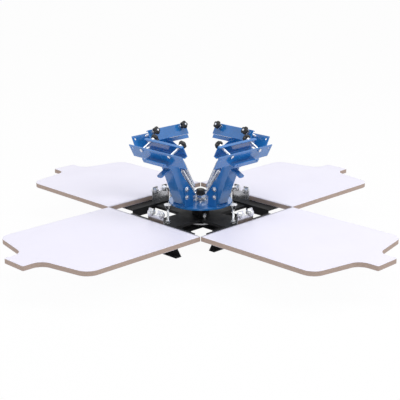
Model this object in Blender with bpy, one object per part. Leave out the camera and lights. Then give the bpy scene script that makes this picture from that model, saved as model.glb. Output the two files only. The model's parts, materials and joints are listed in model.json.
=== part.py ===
"""Four station tabletop screen printing press, modelled in metres with +Z up.

The floor is z = 0 and the two carousels turn about the Z axis. Station 0 points along +X and
the others follow every quarter turn. Each print arm is drawn lowered in its own frame, with the
pivot at the origin, X outward and Z up, and is then tilted up to its rest pose.
"""
import math

import bmesh
import bpy
import numpy as np
from mathutils import Matrix, Vector

# shared clearances and fasteners
GAP = 0.0003
WELD_STEP = 0.0005
OVERRUN = 0.010
STATIONS = 4
QUARTER = math.pi / 2

# pallets
PALLET_TOP_Z = 0.130
PALLET_T = 0.0165
PALLET_W = 0.450
PALLET_INNER_R = 0.2256
PALLET_SHOULDER_R = 0.679
PALLET_SLOPE_SHARE = 0.20
PALLET_TONGUE_W = 0.096
PALLET_TIP_R = 0.780
PALLET_CORNER_R = 0.045
PALLET_NECK_R = 0.040
PALLET_TIP_CORNER_R = 0.005

# base straps
STRAP_SHEET = 0.003
BASE_TOP_Z = 0.0755
LONG_LEG_X = 0.156
LONG_HALF_W = 0.045
SHORT_LEG_Y = 0.086
SHORT_HALF_W = 0.027
FOOT_OUT = 0.023
FOOT_FLARE = 0.017
FOOT_FLARE_H = 0.022
FOOT_HOLE_R = 0.0035
FOOT_HOLE_INSET = 0.010

# king post and bearings
SHAFT_R = 0.0125
POST_COLUMN_R = 0.022
POST_FLANGE_R = 0.040
POST_FLANGE_T = 0.005
POST_BOLT_R = 0.031
POST_COLUMN_TOP_Z = 0.0870
BEARING_R = 0.026
BEARING_H = 0.0064
BEARING_GROOVE = 0.0012
POST_STUB = 0.012
NUT_H = 0.0115
NUT_R = 0.0150
CAP_H = 0.020
CAP_WALL = 0.0025

# index plate and pin
INDEX_R = 0.072
INDEX_T = 0.004
PIN_X = 0.036
PIN_Y = 0.056
PIN_R = 0.004
PIN_KNOB_R = 0.0065
PIN_KNOB_H = 0.0125
PIN_TRAVEL = 0.006
PIN_LIFT = 0.0005

# pallet carousel cross
CROSS_W = 0.100
CROSS_REACH = 0.420
CROSS_FLANGE = 0.010
CROSS_SHEET = 0.003
CROSS_HUB_R = 0.030
CROSS_HUB_TOP_Z = 0.1330

# pallet brackets
BRACKET_T = 0.005
BRACKET_INNER_R = 0.180
BRACKET_HALF_W = 0.155
BRACKET_TAIL_INSET = 0.020
BRACKET_TAIL_R = CROSS_REACH - BRACKET_TAIL_INSET
BRACKET_WING_R = BRACKET_INNER_R + (BRACKET_TAIL_R - BRACKET_INNER_R) * 3 / 11
BRACKET_SLOPE_R = BRACKET_INNER_R + (BRACKET_TAIL_R - BRACKET_INNER_R) * 3 / 4
BRACKET_LIP_T = 0.004
BRACKET_LIP_Z = 0.085

# registration rollers
ROLLER_R = 0.011
ROLLER_W = 0.007
ROLLER_INNER_R = 0.2125
ROLLER_Z = 0.151
ROLLER_BOLT_R = 0.004
UPRIGHT_T = 0.004
UPRIGHT_TOP_Z = 0.166
UPRIGHT_HALF_W = 0.038
UPRIGHT_SHOULDER = 0.020

# stop bolts
STOP_R = 0.156
STOP_SHANK_R = 0.004
STOP_NUT_R = 0.0085
STOP_NUT_H = 0.0070
STOP_HEAD_R = 0.0130
STOP_HEAD_NECK_R = 0.0065
STOP_HEAD_H = 0.0170

# pallet screws
SCREW_R = 0.0025
SCREW_HEAD_R = 0.006
SCREW_HEAD_H = 0.004
SCREW_BITE = 0.009
SCREW_INNER_R = 0.255
SCREW_END = 0.020
SCREW_OUTER_R = BRACKET_TAIL_R - SCREW_END

# head disc and hub
DISC_R = 0.110
DISC_T = 0.006
DISC_Z = 0.150
HUB_FLANGE_R = 0.045
HUB_NECK_R = 0.020
HUB_TOP_Z = 0.164
HUB_BOLT_R = 0.034
SMALL_BOLT_R = 0.003
SMALL_HEAD_R = 0.0055
SMALL_HEAD_H = 0.0035

# arm pivots and their brackets
PIVOT_R = 0.094
PIVOT_Z = 0.190
RAISE = math.radians(62.5)
EAR_GAP = 0.0005
EAR_T = 0.004
EAR_INNER_R = 0.064
EAR_OUTER_R = 0.103
EAR_TOP_Z = 0.2285
EAR_TOP_R = 0.0105
EAR_FOOT_T = 0.003
PIVOT_BOLT_R = 0.004
PIVOT_HEAD_R = 0.0075
PIVOT_HEAD_H = 0.005
TENSION_RISE = 0.028
BRACKET_BOLT_R = 0.072
BRACKET_BOLT_S = 0.012

# print arm channel, in the lowered arm frame
ARM_HALF_W = 0.024
ARM_SHEET = 0.003
ARM_TAIL_X = -0.016
ARM_TAIL_Z = -0.0215
ARM_TAIL_TOP_X = -0.020
ARM_TAIL_TOP_Z = 0.040
ARM_WAIST_X = 0.045
ARM_WAIST_Z = 0.0300
ARM_SLIM_X = 0.075
ARM_SLIM_Z = 0.0235
ARM_BEND_X = 0.125
ARM_BEND_Z = -0.0085
ARM_END_X = 0.140
ARM_END_Z = 0.0205
CLAMP_STEP_X = 0.150
CHEEK_MID_X = 0.158
CHEEK_MID_Z = 0.006
CHEEK_TOE_X = 0.174

# screen clamp, in the lowered arm frame
PLATE_INNER_X = 0.164
PLATE_OUTER_X = 0.212
PLATE_Z = -0.0243
PLATE_HALF_L = 0.128
PLATE_HOLE_R = 0.004
PLATE_HOLE_INSET = 0.012
LIP_X = 0.168
LIP_FOOT_X = 0.183
LIP_Z = -0.044
LIP_HALF_L = 0.0575
LIP_HOLE_INSET = 0.012
STUD_X = 0.2025
STUD_S = 0.0665
STUD_R = 0.004
STUD_TOP_Z = 0.052
JAW_INNER_X = 0.171
JAW_OUTER_X = 0.2125
JAW_TOP_Z = 0.026
JAW_SHEET = 0.003
JAW_REAR_Z = 0.0125
JAW_FRONT_Z = 0.0165
JAW_HALF_L = 0.090

# star knobs
KNOB_COLLAR_R = 0.0085
KNOB_COLLAR_H = 0.009
KNOB_R = 0.0145
KNOB_H = 0.013
KNOB_LOBES = 5
KNOB_LOBE_SHARE = 0.16
KNOB_HUB_R = 0.0085
KNOB_HUB_H = 0.003

# registration tongue, in the lowered arm frame
TONGUE_T = 0.005
TONGUE_HALF_W = 0.0115
TONGUE_TIP_Z = -0.050
TONGUE_CHAMFER = 0.004

# springs
LUG_X = 0.087
LUG_Z = 0.045
LUG_HALF_L = 0.005
LUG_T = 0.004
LUG_EYE_R = 0.0040
POST_R = 0.027
POST_BALL_R = 0.0045
POST_STEM_R = 0.003
POST_BALL_Z = 0.186
POST_HEX_R = 0.0075
POST_HEX_H = 0.0070
SPRING_WIRE_R = 0.0008
SPRING_COIL_R = 0.0048
SPRING_TURNS = 8
SPRING_STEPS = 8
SPRING_LEAD = 0.0110

# derived heights
PALLET_BOTTOM_Z = PALLET_TOP_Z - PALLET_T
BRACKET_TOP_Z = PALLET_BOTTOM_Z - GAP
CROSS_TOP_Z = BRACKET_TOP_Z - BRACKET_T - GAP
CROSS_WEB_Z = CROSS_TOP_Z - CROSS_SHEET
STRAP_LOW_TOP_Z = BASE_TOP_Z - STRAP_SHEET - GAP
INDEX_Z = POST_COLUMN_TOP_Z + GAP
LOWER_BEARING_Z = INDEX_Z + INDEX_T + GAP
CROSS_HUB_Z = LOWER_BEARING_Z + BEARING_H + GAP
UPPER_BEARING_Z = CROSS_HUB_TOP_Z + GAP
HUB_Z = UPPER_BEARING_Z + BEARING_H + GAP
EAR_FOOT_Z = DISC_Z + DISC_T + GAP
NUT_Z = HUB_TOP_Z + GAP
CAP_Z = NUT_Z + NUT_H + GAP
EAR_INNER_S = ARM_HALF_W + EAR_GAP
EAR_OUTER_S = EAR_INNER_S + EAR_T
UPRIGHT_X = ROLLER_INNER_R - GAP - UPRIGHT_T
TONGUE_X = ROLLER_INNER_R + ROLLER_W / 2 - PIVOT_R
ROLLER_S = TONGUE_HALF_W + GAP + ROLLER_R
BEARING_BORE_R = SHAFT_R + GAP
JAW_HOLE_R = STUD_R + GAP


def material(name, colour, roughness, metallic):
    """A Principled material with a colour, a roughness and a metallic value."""
    mat = bpy.data.materials.new(name)
    mat.use_nodes = True
    shader = mat.node_tree.nodes["Principled BSDF"]
    shader.inputs["Base Color"].default_value = (*colour, 1.0)
    shader.inputs["Roughness"].default_value = roughness
    shader.inputs["Metallic"].default_value = metallic
    return mat


def finish(name, mesh, mat, matrix=None, parent=None):
    """A named object on a mesh, with its material and smooth rounds, placed by a matrix."""
    obj = bpy.data.objects.new(name, mesh)
    bpy.context.scene.collection.objects.link(obj)
    if not mesh.materials:
        mesh.materials.append(mat)
        mesh.shade_smooth()
        mesh.set_sharp_from_angle(angle=math.radians(35))
    if parent:
        obj.parent = parent
    if matrix is not None:
        obj.matrix_local = matrix
    return obj


def as_mesh(name, bm):
    """A mesh from a bmesh, with its faces turned outward."""
    bmesh.ops.recalc_face_normals(bm, faces=bm.faces)
    mesh = bpy.data.meshes.new(name)
    bm.to_mesh(mesh)
    bm.free()
    return mesh


def prism(bm, outline, axis, low, high):
    """Extrude a closed outline along an axis between two heights.

    The outline's two values are (x, y) for axis Z, (x, z) for axis Y and (y, z) for axis X.
    """
    def point(pair, height):
        a, b = pair
        return {"Z": (a, b, height), "Y": (a, height, b), "X": (height, a, b)}[axis]
    face = bm.faces.new([bm.verts.new(point(pair, low)) for pair in outline])
    grown = bmesh.ops.extrude_face_region(bm, geom=[face])
    shift = Vector(point((0.0, 0.0), high - low))
    bmesh.ops.translate(bm, verts=[g for g in grown["geom"] if isinstance(g, bmesh.types.BMVert)], vec=shift)


def box(bm, x0, x1, y0, y1, z0, z1):
    """A box between two corners."""
    prism(bm, [(x0, y0), (x1, y0), (x1, y1), (x0, y1)], "Z", z0, z1)


def turned(bm, profile, steps, centre=(0.0, 0.0), axis="Z", lobed=()):
    """Turn a profile of (radius, height) pairs round a centre; six steps give a hexagon.

    A profile whose first and last radius are zero gives a solid, any other a ring. The rows
    whose numbers are in lobed swell and shrink as a star knob's rim does.
    """
    solid = profile[0][0] == 0 and profile[-1][0] == 0
    rows = []
    for row, (radius, height) in enumerate(profile):
        points = []
        for k in range(1 if radius == 0 else steps):
            angle = 2 * math.pi * k / steps
            wave = 1 - KNOB_LOBE_SHARE * (1 - math.cos(KNOB_LOBES * angle)) / 2 if row in lobed else 1
            a = centre[0] + radius * wave * math.cos(angle)
            b = centre[1] + radius * wave * math.sin(angle)
            points.append(bm.verts.new({"Z": (a, b, height), "X": (height, a, b), "Y": (a, height, b)}[axis]))
        rows.append(points)
    pairs = list(zip(rows, rows[1:])) if solid else list(zip(rows, rows[1:] + rows[:1]))
    for low, high in pairs:
        for k in range(steps):
            quad = [low[k % len(low)], low[(k + 1) % len(low)], high[(k + 1) % len(high)], high[k % len(high)]]
            unique = list(dict.fromkeys(quad))
            if len(unique) > 2:
                bm.faces.new(unique)


def rod(bm, radius, low, high, centre=(0.0, 0.0), axis="Z", steps=16):
    """A plain round rod."""
    turned(bm, [(0, low), (radius, low), (radius, high), (0, high)], steps, centre, axis)


def rounded(points, radii, steps=6):
    """A closed outline whose corners are rounded by their radii, inner corners too."""
    out = []
    count = len(points)
    for k in range(count):
        corner = Vector(points[k])
        before = (Vector(points[k - 1]) - corner).normalized()
        after = (Vector(points[(k + 1) % count]) - corner).normalized()
        radius = radii[k]
        if radius == 0:
            out.append(tuple(corner))
            continue
        half = before.angle(after) / 2
        reach = radius / math.tan(half)
        start, end = corner + before * reach, corner + after * reach
        middle = corner + (before + after).normalized() * (radius / math.sin(half))
        first, last = start - middle, end - middle
        turn = first.angle_signed(last)
        for step in range(steps + 1):
            angle = -turn * step / steps
            arm = Vector((first.x * math.cos(angle) - first.y * math.sin(angle),
                          first.x * math.sin(angle) + first.y * math.cos(angle)))
            out.append(tuple(middle + arm))
    return out


def combine(name, bm, parts):
    """Bake a body with further bodies joined to it or cut from it by exact booleans."""
    base = bpy.data.objects.new(name, as_mesh(name, bm))
    bpy.context.scene.collection.objects.link(base)
    helpers = []
    for operation, part in parts:
        helper = bpy.data.objects.new(name + "_tool", as_mesh(name + "_tool", part))
        bpy.context.scene.collection.objects.link(helper)
        helper.hide_render = True
        helper.display_type = "WIRE"
        modifier = base.modifiers.new(operation.lower(), "BOOLEAN")
        modifier.operation = operation
        modifier.solver = "EXACT"
        modifier.object = helper
        helpers.append(helper)
    view = bpy.context.evaluated_depsgraph_get()
    mesh = bpy.data.meshes.new_from_object(base.evaluated_get(view))
    mesh.name = name
    for obj in helpers + [base]:
        bpy.data.objects.remove(obj)
    return mesh


def station(k):
    """The turn that takes station 0 to station k."""
    return Matrix.Rotation(k * QUARTER, 4, "Z")


def at_station(k, x, y):
    """A point of station 0's plan, carried round to station k."""
    spot = station(k) @ Vector((x, y, 0.0))
    return spot.x, spot.y


# base

def strap_mesh(name, leg, half_w, top_z, bolt_spots):
    """A folded strap: foot, leg, top, leg and foot, with flared feet and bolt holes.

    The fold runs along X. Each row gives the outer and the inner point of the sheet and its half width.
    """
    sheet = STRAP_SHEET
    flare = half_w + FOOT_FLARE
    row = [((leg + FOOT_OUT, sheet), (leg + FOOT_OUT, 0), flare), ((leg, sheet), (leg - sheet, 0), flare),
           ((leg, FOOT_FLARE_H), (leg - sheet, FOOT_FLARE_H), half_w),
           ((leg, top_z), (leg - sheet, top_z - sheet), half_w)]
    row = row + [((-a, b), (-c, d), w) for (a, b), (c, d), w in reversed(row)]
    body = bmesh.new()
    rings = [[body.verts.new(spot) for spot in ((a, -w, b), (a, w, b), (c, w, d), (c, -w, d))]
             for (a, b), (c, d), w in row]
    for one, two in zip(rings, rings[1:]):
        for k in range(4):
            body.faces.new([one[k], one[(k + 1) % 4], two[(k + 1) % 4], two[k]])
    body.faces.new(rings[0][::-1])
    body.faces.new(rings[-1])
    bmesh.ops.triangulate(body, faces=[f for f in body.faces if abs(f.normal.y) > 0.5])
    bmesh.ops.recalc_face_normals(body, faces=body.faces)
    cuts = bmesh.new()
    for side in (-1, 1):
        for across in (-1, 1):
            spot = (side * (leg + FOOT_OUT - FOOT_HOLE_INSET), across * (flare - FOOT_HOLE_INSET))
            rod(cuts, FOOT_HOLE_R, -OVERRUN, FOOT_FLARE_H / 2, spot, steps=8)
    for spot in bolt_spots:
        rod(cuts, SMALL_BOLT_R + GAP, top_z - STRAP_SHEET - OVERRUN / 2, top_z + OVERRUN / 2, spot, steps=8)
    return combine(name, body, [("DIFFERENCE", cuts)])


def diagonal_spots(radius):
    """Four places on the diagonals between the stations, at a radius from the axis."""
    reach = radius * math.sqrt(2) / 2
    return [(sx * reach, sy * reach) for sx in (-1, 1) for sy in (-1, 1)]


def through_bolt(bm, spot, head_seat, nut_seat, shank_r, head_r, head_h, axis="Z"):
    """A hex bolt with its head above one height and its nut below another."""
    turned(bm, [(0, nut_seat - head_h), (head_r, nut_seat - head_h), (head_r, nut_seat), (shank_r, nut_seat),
                (shank_r, head_seat), (head_r, head_seat), (head_r, head_seat + head_h),
                (0, head_seat + head_h)], 6, spot, axis)


def make_base(mats):
    """Two folded straps, the king post, the index plate, the bearings, the top nut and its cap."""
    spots = diagonal_spots(POST_BOLT_R)
    finish("base_strap_long", strap_mesh("base_strap_long", LONG_LEG_X, LONG_HALF_W, BASE_TOP_Z, spots),
           mats["black"])
    finish("base_strap_short",
           strap_mesh("base_strap_short", SHORT_LEG_Y, SHORT_HALF_W, STRAP_LOW_TOP_Z, spots),
           mats["black"], station(1))

    low = BASE_TOP_Z + GAP
    stub = CAP_Z + POST_STUB
    bm = bmesh.new()
    turned(bm, [(0, low), (POST_FLANGE_R, low), (POST_FLANGE_R, low + POST_FLANGE_T),
                (POST_COLUMN_R, low + POST_FLANGE_T), (POST_COLUMN_R, POST_COLUMN_TOP_Z),
                (SHAFT_R, POST_COLUMN_TOP_Z), (SHAFT_R, stub - CAP_WALL), (SHAFT_R - CAP_WALL / 2, stub),
                (0, stub)], 20)
    bolts = bmesh.new()
    for spot in spots:
        through_bolt(bolts, spot, low + POST_FLANGE_T - WELD_STEP, STRAP_LOW_TOP_Z - STRAP_SHEET - GAP,
                     SMALL_BOLT_R, SMALL_HEAD_R, SMALL_HEAD_H)
    finish("king_post", combine("king_post", bm, [("UNION", bolts)]), mats["steel"])

    bm = bmesh.new()
    top = INDEX_Z + INDEX_T
    turned(bm, [(BEARING_BORE_R, INDEX_Z), (INDEX_R, INDEX_Z), (INDEX_R, top), (BEARING_BORE_R, top)], 28)
    cuts = bmesh.new()
    for k in range(STATIONS):
        rod(cuts, PIN_R + GAP, INDEX_Z - OVERRUN / 2, top + OVERRUN / 2, at_station(k, PIN_X, PIN_Y), steps=8)
    finish("index_plate", combine("index_plate", bm, [("DIFFERENCE", cuts)]), mats["steel"])

    for name, z in (("thrust_bearing_lower", LOWER_BEARING_Z), ("thrust_bearing_upper", UPPER_BEARING_Z)):
        bm = bmesh.new()
        middle = z + BEARING_H / 2
        turned(bm, [(BEARING_BORE_R, z), (BEARING_R, z), (BEARING_R, middle - BEARING_GROOVE),
                    (BEARING_R - BEARING_GROOVE, middle - BEARING_GROOVE),
                    (BEARING_R - BEARING_GROOVE, middle + BEARING_GROOVE), (BEARING_R, middle + BEARING_GROOVE),
                    (BEARING_R, z + BEARING_H), (BEARING_BORE_R, z + BEARING_H)], 16)
        finish(name, as_mesh(name, bm), mats["steel"])

    bm = bmesh.new()
    rod(bm, NUT_R, NUT_Z, NUT_Z + NUT_H, steps=6)
    cuts = bmesh.new()
    rod(cuts, BEARING_BORE_R, NUT_Z - OVERRUN, NUT_Z + NUT_H + OVERRUN, steps=20)
    finish("post_nut", combine("post_nut", bm, [("DIFFERENCE", cuts)]), mats["chrome"])

    bm = bmesh.new()
    crown = CAP_Z + CAP_H
    outer = BEARING_BORE_R + CAP_WALL
    ceiling = stub + GAP
    turned(bm, [(0, ceiling), (BEARING_BORE_R, ceiling), (BEARING_BORE_R, CAP_Z), (outer, CAP_Z),
                (outer, crown - CAP_WALL * 2), (outer - CAP_WALL, crown - CAP_WALL / 2),
                (outer - CAP_WALL * 2, crown), (0, crown)], 20)
    finish("post_cap", as_mesh("post_cap", bm), mats["plastic"])


# pallet carousel

def plus_outline(half_w, reach):
    """The outline of a plus sign whose arms have a half width and a reach."""
    quarter = [(reach, -half_w), (reach, half_w), (half_w, half_w)]
    out = []
    for k in range(STATIONS):
        out += [at_station(k, x, y) for x, y in quarter]
    return out


def make_cross(mats):
    """The channel cross that carries the pallets, with its hub tube and the pallet screws."""
    half = CROSS_W / 2
    bm = bmesh.new()
    prism(bm, plus_outline(half, CROSS_REACH), "Z", CROSS_TOP_Z - CROSS_FLANGE, CROSS_TOP_Z)
    inside = bmesh.new()
    prism(inside, plus_outline(half - CROSS_SHEET, CROSS_REACH + OVERRUN), "Z",
          CROSS_TOP_Z - CROSS_FLANGE - OVERRUN, CROSS_WEB_Z)
    hub = bmesh.new()
    rod(hub, CROSS_HUB_R, CROSS_HUB_Z, CROSS_HUB_TOP_Z, steps=24)
    cuts = bmesh.new()
    rod(cuts, BEARING_BORE_R, CROSS_HUB_Z - OVERRUN / 4, CROSS_HUB_TOP_Z + OVERRUN, steps=20)
    rod(cuts, PIN_R + GAP, CROSS_WEB_Z - OVERRUN / 4, CROSS_TOP_Z + OVERRUN, (PIN_X, PIN_Y), steps=12)
    screws = bmesh.new()
    seat, tip = CROSS_WEB_Z + WELD_STEP, PALLET_BOTTOM_Z + SCREW_BITE
    for k in range(STATIONS):
        rod(cuts, STOP_SHANK_R + GAP, CROSS_WEB_Z - OVERRUN / 4, CROSS_TOP_Z + OVERRUN,
            at_station(k, STOP_R, 0), steps=8)
        for r, s in screw_spots():
            turned(screws, [(0, seat - SCREW_HEAD_H), (SCREW_HEAD_R, seat - SCREW_HEAD_H), (SCREW_HEAD_R, seat),
                            (SCREW_R, seat), (SCREW_R, tip), (0, tip)], 6, at_station(k, r, s))
    mesh = combine("pallet_cross", bm, [("DIFFERENCE", inside), ("UNION", hub), ("DIFFERENCE", cuts),
                                        ("UNION", screws)])
    finish("pallet_cross", mesh, mats["black"])


def screw_spots():
    """The screws that hold one pallet and its bracket to an arm of the cross."""
    return [(SCREW_INNER_R, 0.0), (SCREW_OUTER_R, 0.0)]


def pallet_outline():
    """A pallet: square inner corners, sloped shoulders, and a tongue with filleted neck."""
    half, neck = PALLET_W / 2, PALLET_TONGUE_W / 2
    neck_r = PALLET_SHOULDER_R + PALLET_SLOPE_SHARE * (half - neck)
    side = [(PALLET_INNER_R, half), (PALLET_SHOULDER_R, half), (neck_r, neck), (PALLET_TIP_R, neck)]
    points = [(r, -s) for r, s in side] + [(r, s) for r, s in reversed(side)]
    radii = [0, PALLET_CORNER_R, PALLET_NECK_R, PALLET_TIP_CORNER_R]
    return rounded(points, radii + radii[::-1], 5)


def bracket_mesh():
    """The plate under a pallet: winged end, turned down lip, roller upright and roller bolts."""
    top, low = BRACKET_TOP_Z, BRACKET_TOP_Z - BRACKET_T
    tail = CROSS_W / 2
    wing = BRACKET_HALF_W
    start = BRACKET_INNER_R + WELD_STEP
    bm = bmesh.new()
    prism(bm, [(start, -wing), (BRACKET_WING_R, -wing), (BRACKET_SLOPE_R, -tail),
               (BRACKET_TAIL_R, -tail), (BRACKET_TAIL_R, tail), (BRACKET_SLOPE_R, tail),
               (BRACKET_WING_R, wing), (start, wing)], "Z", low, top)
    lip = bmesh.new()
    notch = tail + GAP
    clear = low + WELD_STEP
    prism(lip, [(-wing + WELD_STEP, BRACKET_LIP_Z), (-notch, BRACKET_LIP_Z), (-notch, clear), (notch, clear),
                (notch, BRACKET_LIP_Z), (wing - WELD_STEP, BRACKET_LIP_Z), (wing - WELD_STEP, top - WELD_STEP),
                (-wing + WELD_STEP, top - WELD_STEP)], "X", BRACKET_INNER_R, BRACKET_INNER_R + BRACKET_LIP_T)
    upright = bmesh.new()
    edge = UPRIGHT_HALF_W
    prism(upright, [(-edge, low + WELD_STEP), (edge, low + WELD_STEP), (edge, UPRIGHT_TOP_Z - UPRIGHT_SHOULDER),
                    (edge - UPRIGHT_SHOULDER / 4, UPRIGHT_TOP_Z), (TONGUE_HALF_W, UPRIGHT_TOP_Z),
                    (TONGUE_HALF_W, UPRIGHT_TOP_Z - UPRIGHT_SHOULDER),
                    (-TONGUE_HALF_W, UPRIGHT_TOP_Z - UPRIGHT_SHOULDER), (-TONGUE_HALF_W, UPRIGHT_TOP_Z),
                    (-edge + UPRIGHT_SHOULDER / 4, UPRIGHT_TOP_Z),
                    (-edge, UPRIGHT_TOP_Z - UPRIGHT_SHOULDER)], "X", UPRIGHT_X, UPRIGHT_X + UPRIGHT_T)
    bolts, cuts = bmesh.new(), bmesh.new()
    for side in (-1, 1):
        through_bolt(bolts, (side * ROLLER_S, ROLLER_Z), ROLLER_INNER_R + ROLLER_W + GAP, UPRIGHT_X + WELD_STEP,
                     ROLLER_BOLT_R, SMALL_HEAD_R + WELD_STEP, SMALL_HEAD_H, "X")
    for spot in screw_spots():
        rod(cuts, SCREW_R + GAP, low - OVERRUN / 2, top + OVERRUN / 2, spot, steps=8)
    return combine("pallet_bracket", bm, [("UNION", lip), ("UNION", upright), ("UNION", bolts),
                                          ("DIFFERENCE", cuts)])


def roller_mesh():
    """A sealed ball bearing on its own axis, along X, whose shield lies a little inside its rim."""
    shield, dip = ROLLER_R * 0.82, ROLLER_W / 12
    w, bore = ROLLER_W / 2, ROLLER_BOLT_R + GAP
    bm = bmesh.new()
    turned(bm, [(bore, -w), (bore, w - dip), (shield, w - dip), (shield, w), (ROLLER_R, w), (ROLLER_R, -w)],
           12, axis="X")
    return as_mesh("roller", bm)


def stop_mesh():
    """A stop bolt with its lock nut over the cross and its nut under it, at station 0."""
    seat, web, top = CROSS_TOP_Z + GAP, CROSS_WEB_Z - GAP, stop_top()
    bm = bmesh.new()
    turned(bm, [(0, web - SMALL_HEAD_H), (STOP_NUT_R, web - SMALL_HEAD_H), (STOP_NUT_R, web),
                (STOP_SHANK_R, web), (STOP_SHANK_R, seat), (STOP_NUT_R, seat),
                (STOP_NUT_R, seat + STOP_NUT_H), (STOP_SHANK_R, seat + STOP_NUT_H),
                (STOP_SHANK_R, top - STOP_HEAD_H), (STOP_HEAD_NECK_R, top - STOP_HEAD_H),
                (STOP_HEAD_R, top - STOP_HEAD_H / 5), (STOP_HEAD_R, top), (0, top)], 8, (STOP_R, 0))
    return as_mesh("stop_bolt", bm)


def make_pallet_carousel(mats):
    """The cross, four pallets on their brackets, eight rollers, the stop bolts and the index pin."""
    make_cross(mats)
    plate = bracket_mesh()
    bm = bmesh.new()
    prism(bm, pallet_outline(), "Z", PALLET_BOTTOM_Z, PALLET_TOP_Z)
    cuts = bmesh.new()
    for spot in screw_spots():
        rod(cuts, SCREW_R + GAP, PALLET_BOTTOM_Z - OVERRUN, PALLET_BOTTOM_Z + SCREW_BITE + GAP, spot, steps=8)
    board = combine("pallet", bm, [("DIFFERENCE", cuts)])
    roller, stop = roller_mesh(), stop_mesh()
    for k in range(STATIONS):
        finish(f"pallet_bracket_{k + 1}", plate, mats["black"], station(k))
        finish(f"pallet_{k + 1}", board, mats["laminate"], station(k))
        for side, letter in ((-1, "a"), (1, "b")):
            hub = (ROLLER_INNER_R + ROLLER_W / 2, side * ROLLER_S, ROLLER_Z)
            finish(f"roller_{k + 1}{letter}", roller, mats["chrome"], station(k) @ Matrix.Translation(hub))
        finish(f"stop_bolt_{k + 1}", stop, mats["chrome"], station(k))
    bm = bmesh.new()
    tip, top = INDEX_Z + INDEX_T + PIN_LIFT, CROSS_TOP_Z + PIN_TRAVEL + PIN_LIFT
    turned(bm, [(0, tip), (PIN_R, tip), (PIN_R, top), (PIN_KNOB_R, top), (PIN_KNOB_R, top + PIN_KNOB_H * 0.7),
                (PIN_KNOB_R * 0.6, top + PIN_KNOB_H), (0, top + PIN_KNOB_H)], 12)
    finish("index_pin", as_mesh("index_pin", bm), mats["chrome"], Matrix.Translation((PIN_X, PIN_Y, 0)))


def arm_floor(x):
    """The height of a lowered arm's underside over its channel, at a distance from the pivot."""
    return ARM_TAIL_Z + (ARM_BEND_Z - ARM_TAIL_Z) * (x - ARM_TAIL_X) / (ARM_BEND_X - ARM_TAIL_X)


def stop_top():
    """The top of a stop bolt: just under the lowered arm at the head's inner edge."""
    return PIVOT_Z + arm_floor(STOP_R - STOP_HEAD_R - PIVOT_R) - WELD_STEP


# head carousel

def ear_mesh():
    """A folded pivot bracket: two rounded ears with pivot holes, its foot bolts and tension bolts."""
    top = EAR_TOP_Z
    outline = rounded([(EAR_INNER_R, EAR_FOOT_Z), (EAR_OUTER_R, EAR_FOOT_Z), (EAR_OUTER_R, top - EAR_TOP_R * 3),
                       (PIVOT_R + EAR_TOP_R, top), (PIVOT_R - EAR_TOP_R, top),
                       (EAR_INNER_R, EAR_FOOT_Z + EAR_TOP_R * 2)],
                      [0, 0, EAR_TOP_R / 2, EAR_TOP_R * 0.7, EAR_TOP_R * 0.7, EAR_TOP_R], 3)
    bm = bmesh.new()
    prism(bm, outline, "Y", -EAR_OUTER_S, EAR_OUTER_S)
    inside, holes, bolts = bmesh.new(), bmesh.new(), bmesh.new()
    box(inside, EAR_INNER_R - OVERRUN, EAR_OUTER_R + OVERRUN, -EAR_INNER_S, EAR_INNER_S,
        EAR_FOOT_Z + EAR_FOOT_T, top + OVERRUN)
    reach = EAR_OUTER_S + OVERRUN
    rod(holes, PIVOT_BOLT_R + GAP, -reach, reach, (PIVOT_R, PIVOT_Z), "Y", 12)
    for side in (-1, 1):
        through_bolt(bolts, (BRACKET_BOLT_R, side * BRACKET_BOLT_S), EAR_FOOT_Z + EAR_FOOT_T - WELD_STEP,
                     DISC_Z - GAP, SMALL_BOLT_R, SMALL_HEAD_R, SMALL_HEAD_H)
        rod(bolts, PIVOT_HEAD_R, side * (EAR_OUTER_S - WELD_STEP), side * (EAR_OUTER_S + PIVOT_HEAD_H),
            (PIVOT_R, PIVOT_Z + TENSION_RISE), "Y", 6)
    return combine("arm_bracket", bm, [("DIFFERENCE", inside), ("DIFFERENCE", holes), ("UNION", bolts)])


def post_solid(bm, spot, seat):
    """A spring post: threaded into the hub, with a hex over the disc and a ball at its top."""
    foot, ball, r = HUB_Z + WELD_STEP, POST_BALL_Z, POST_BALL_R
    turned(bm, [(0, foot), (SMALL_BOLT_R, foot), (SMALL_BOLT_R, seat), (POST_HEX_R, seat),
                (POST_HEX_R, seat + POST_HEX_H), (POST_STEM_R, seat + POST_HEX_H), (POST_STEM_R, ball - r * 0.75),
                (r, ball - r * 0.3), (r, ball + r * 0.3), (r / 2, ball + r * 0.85), (0, ball + r * 0.85)], 8, spot)


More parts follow.
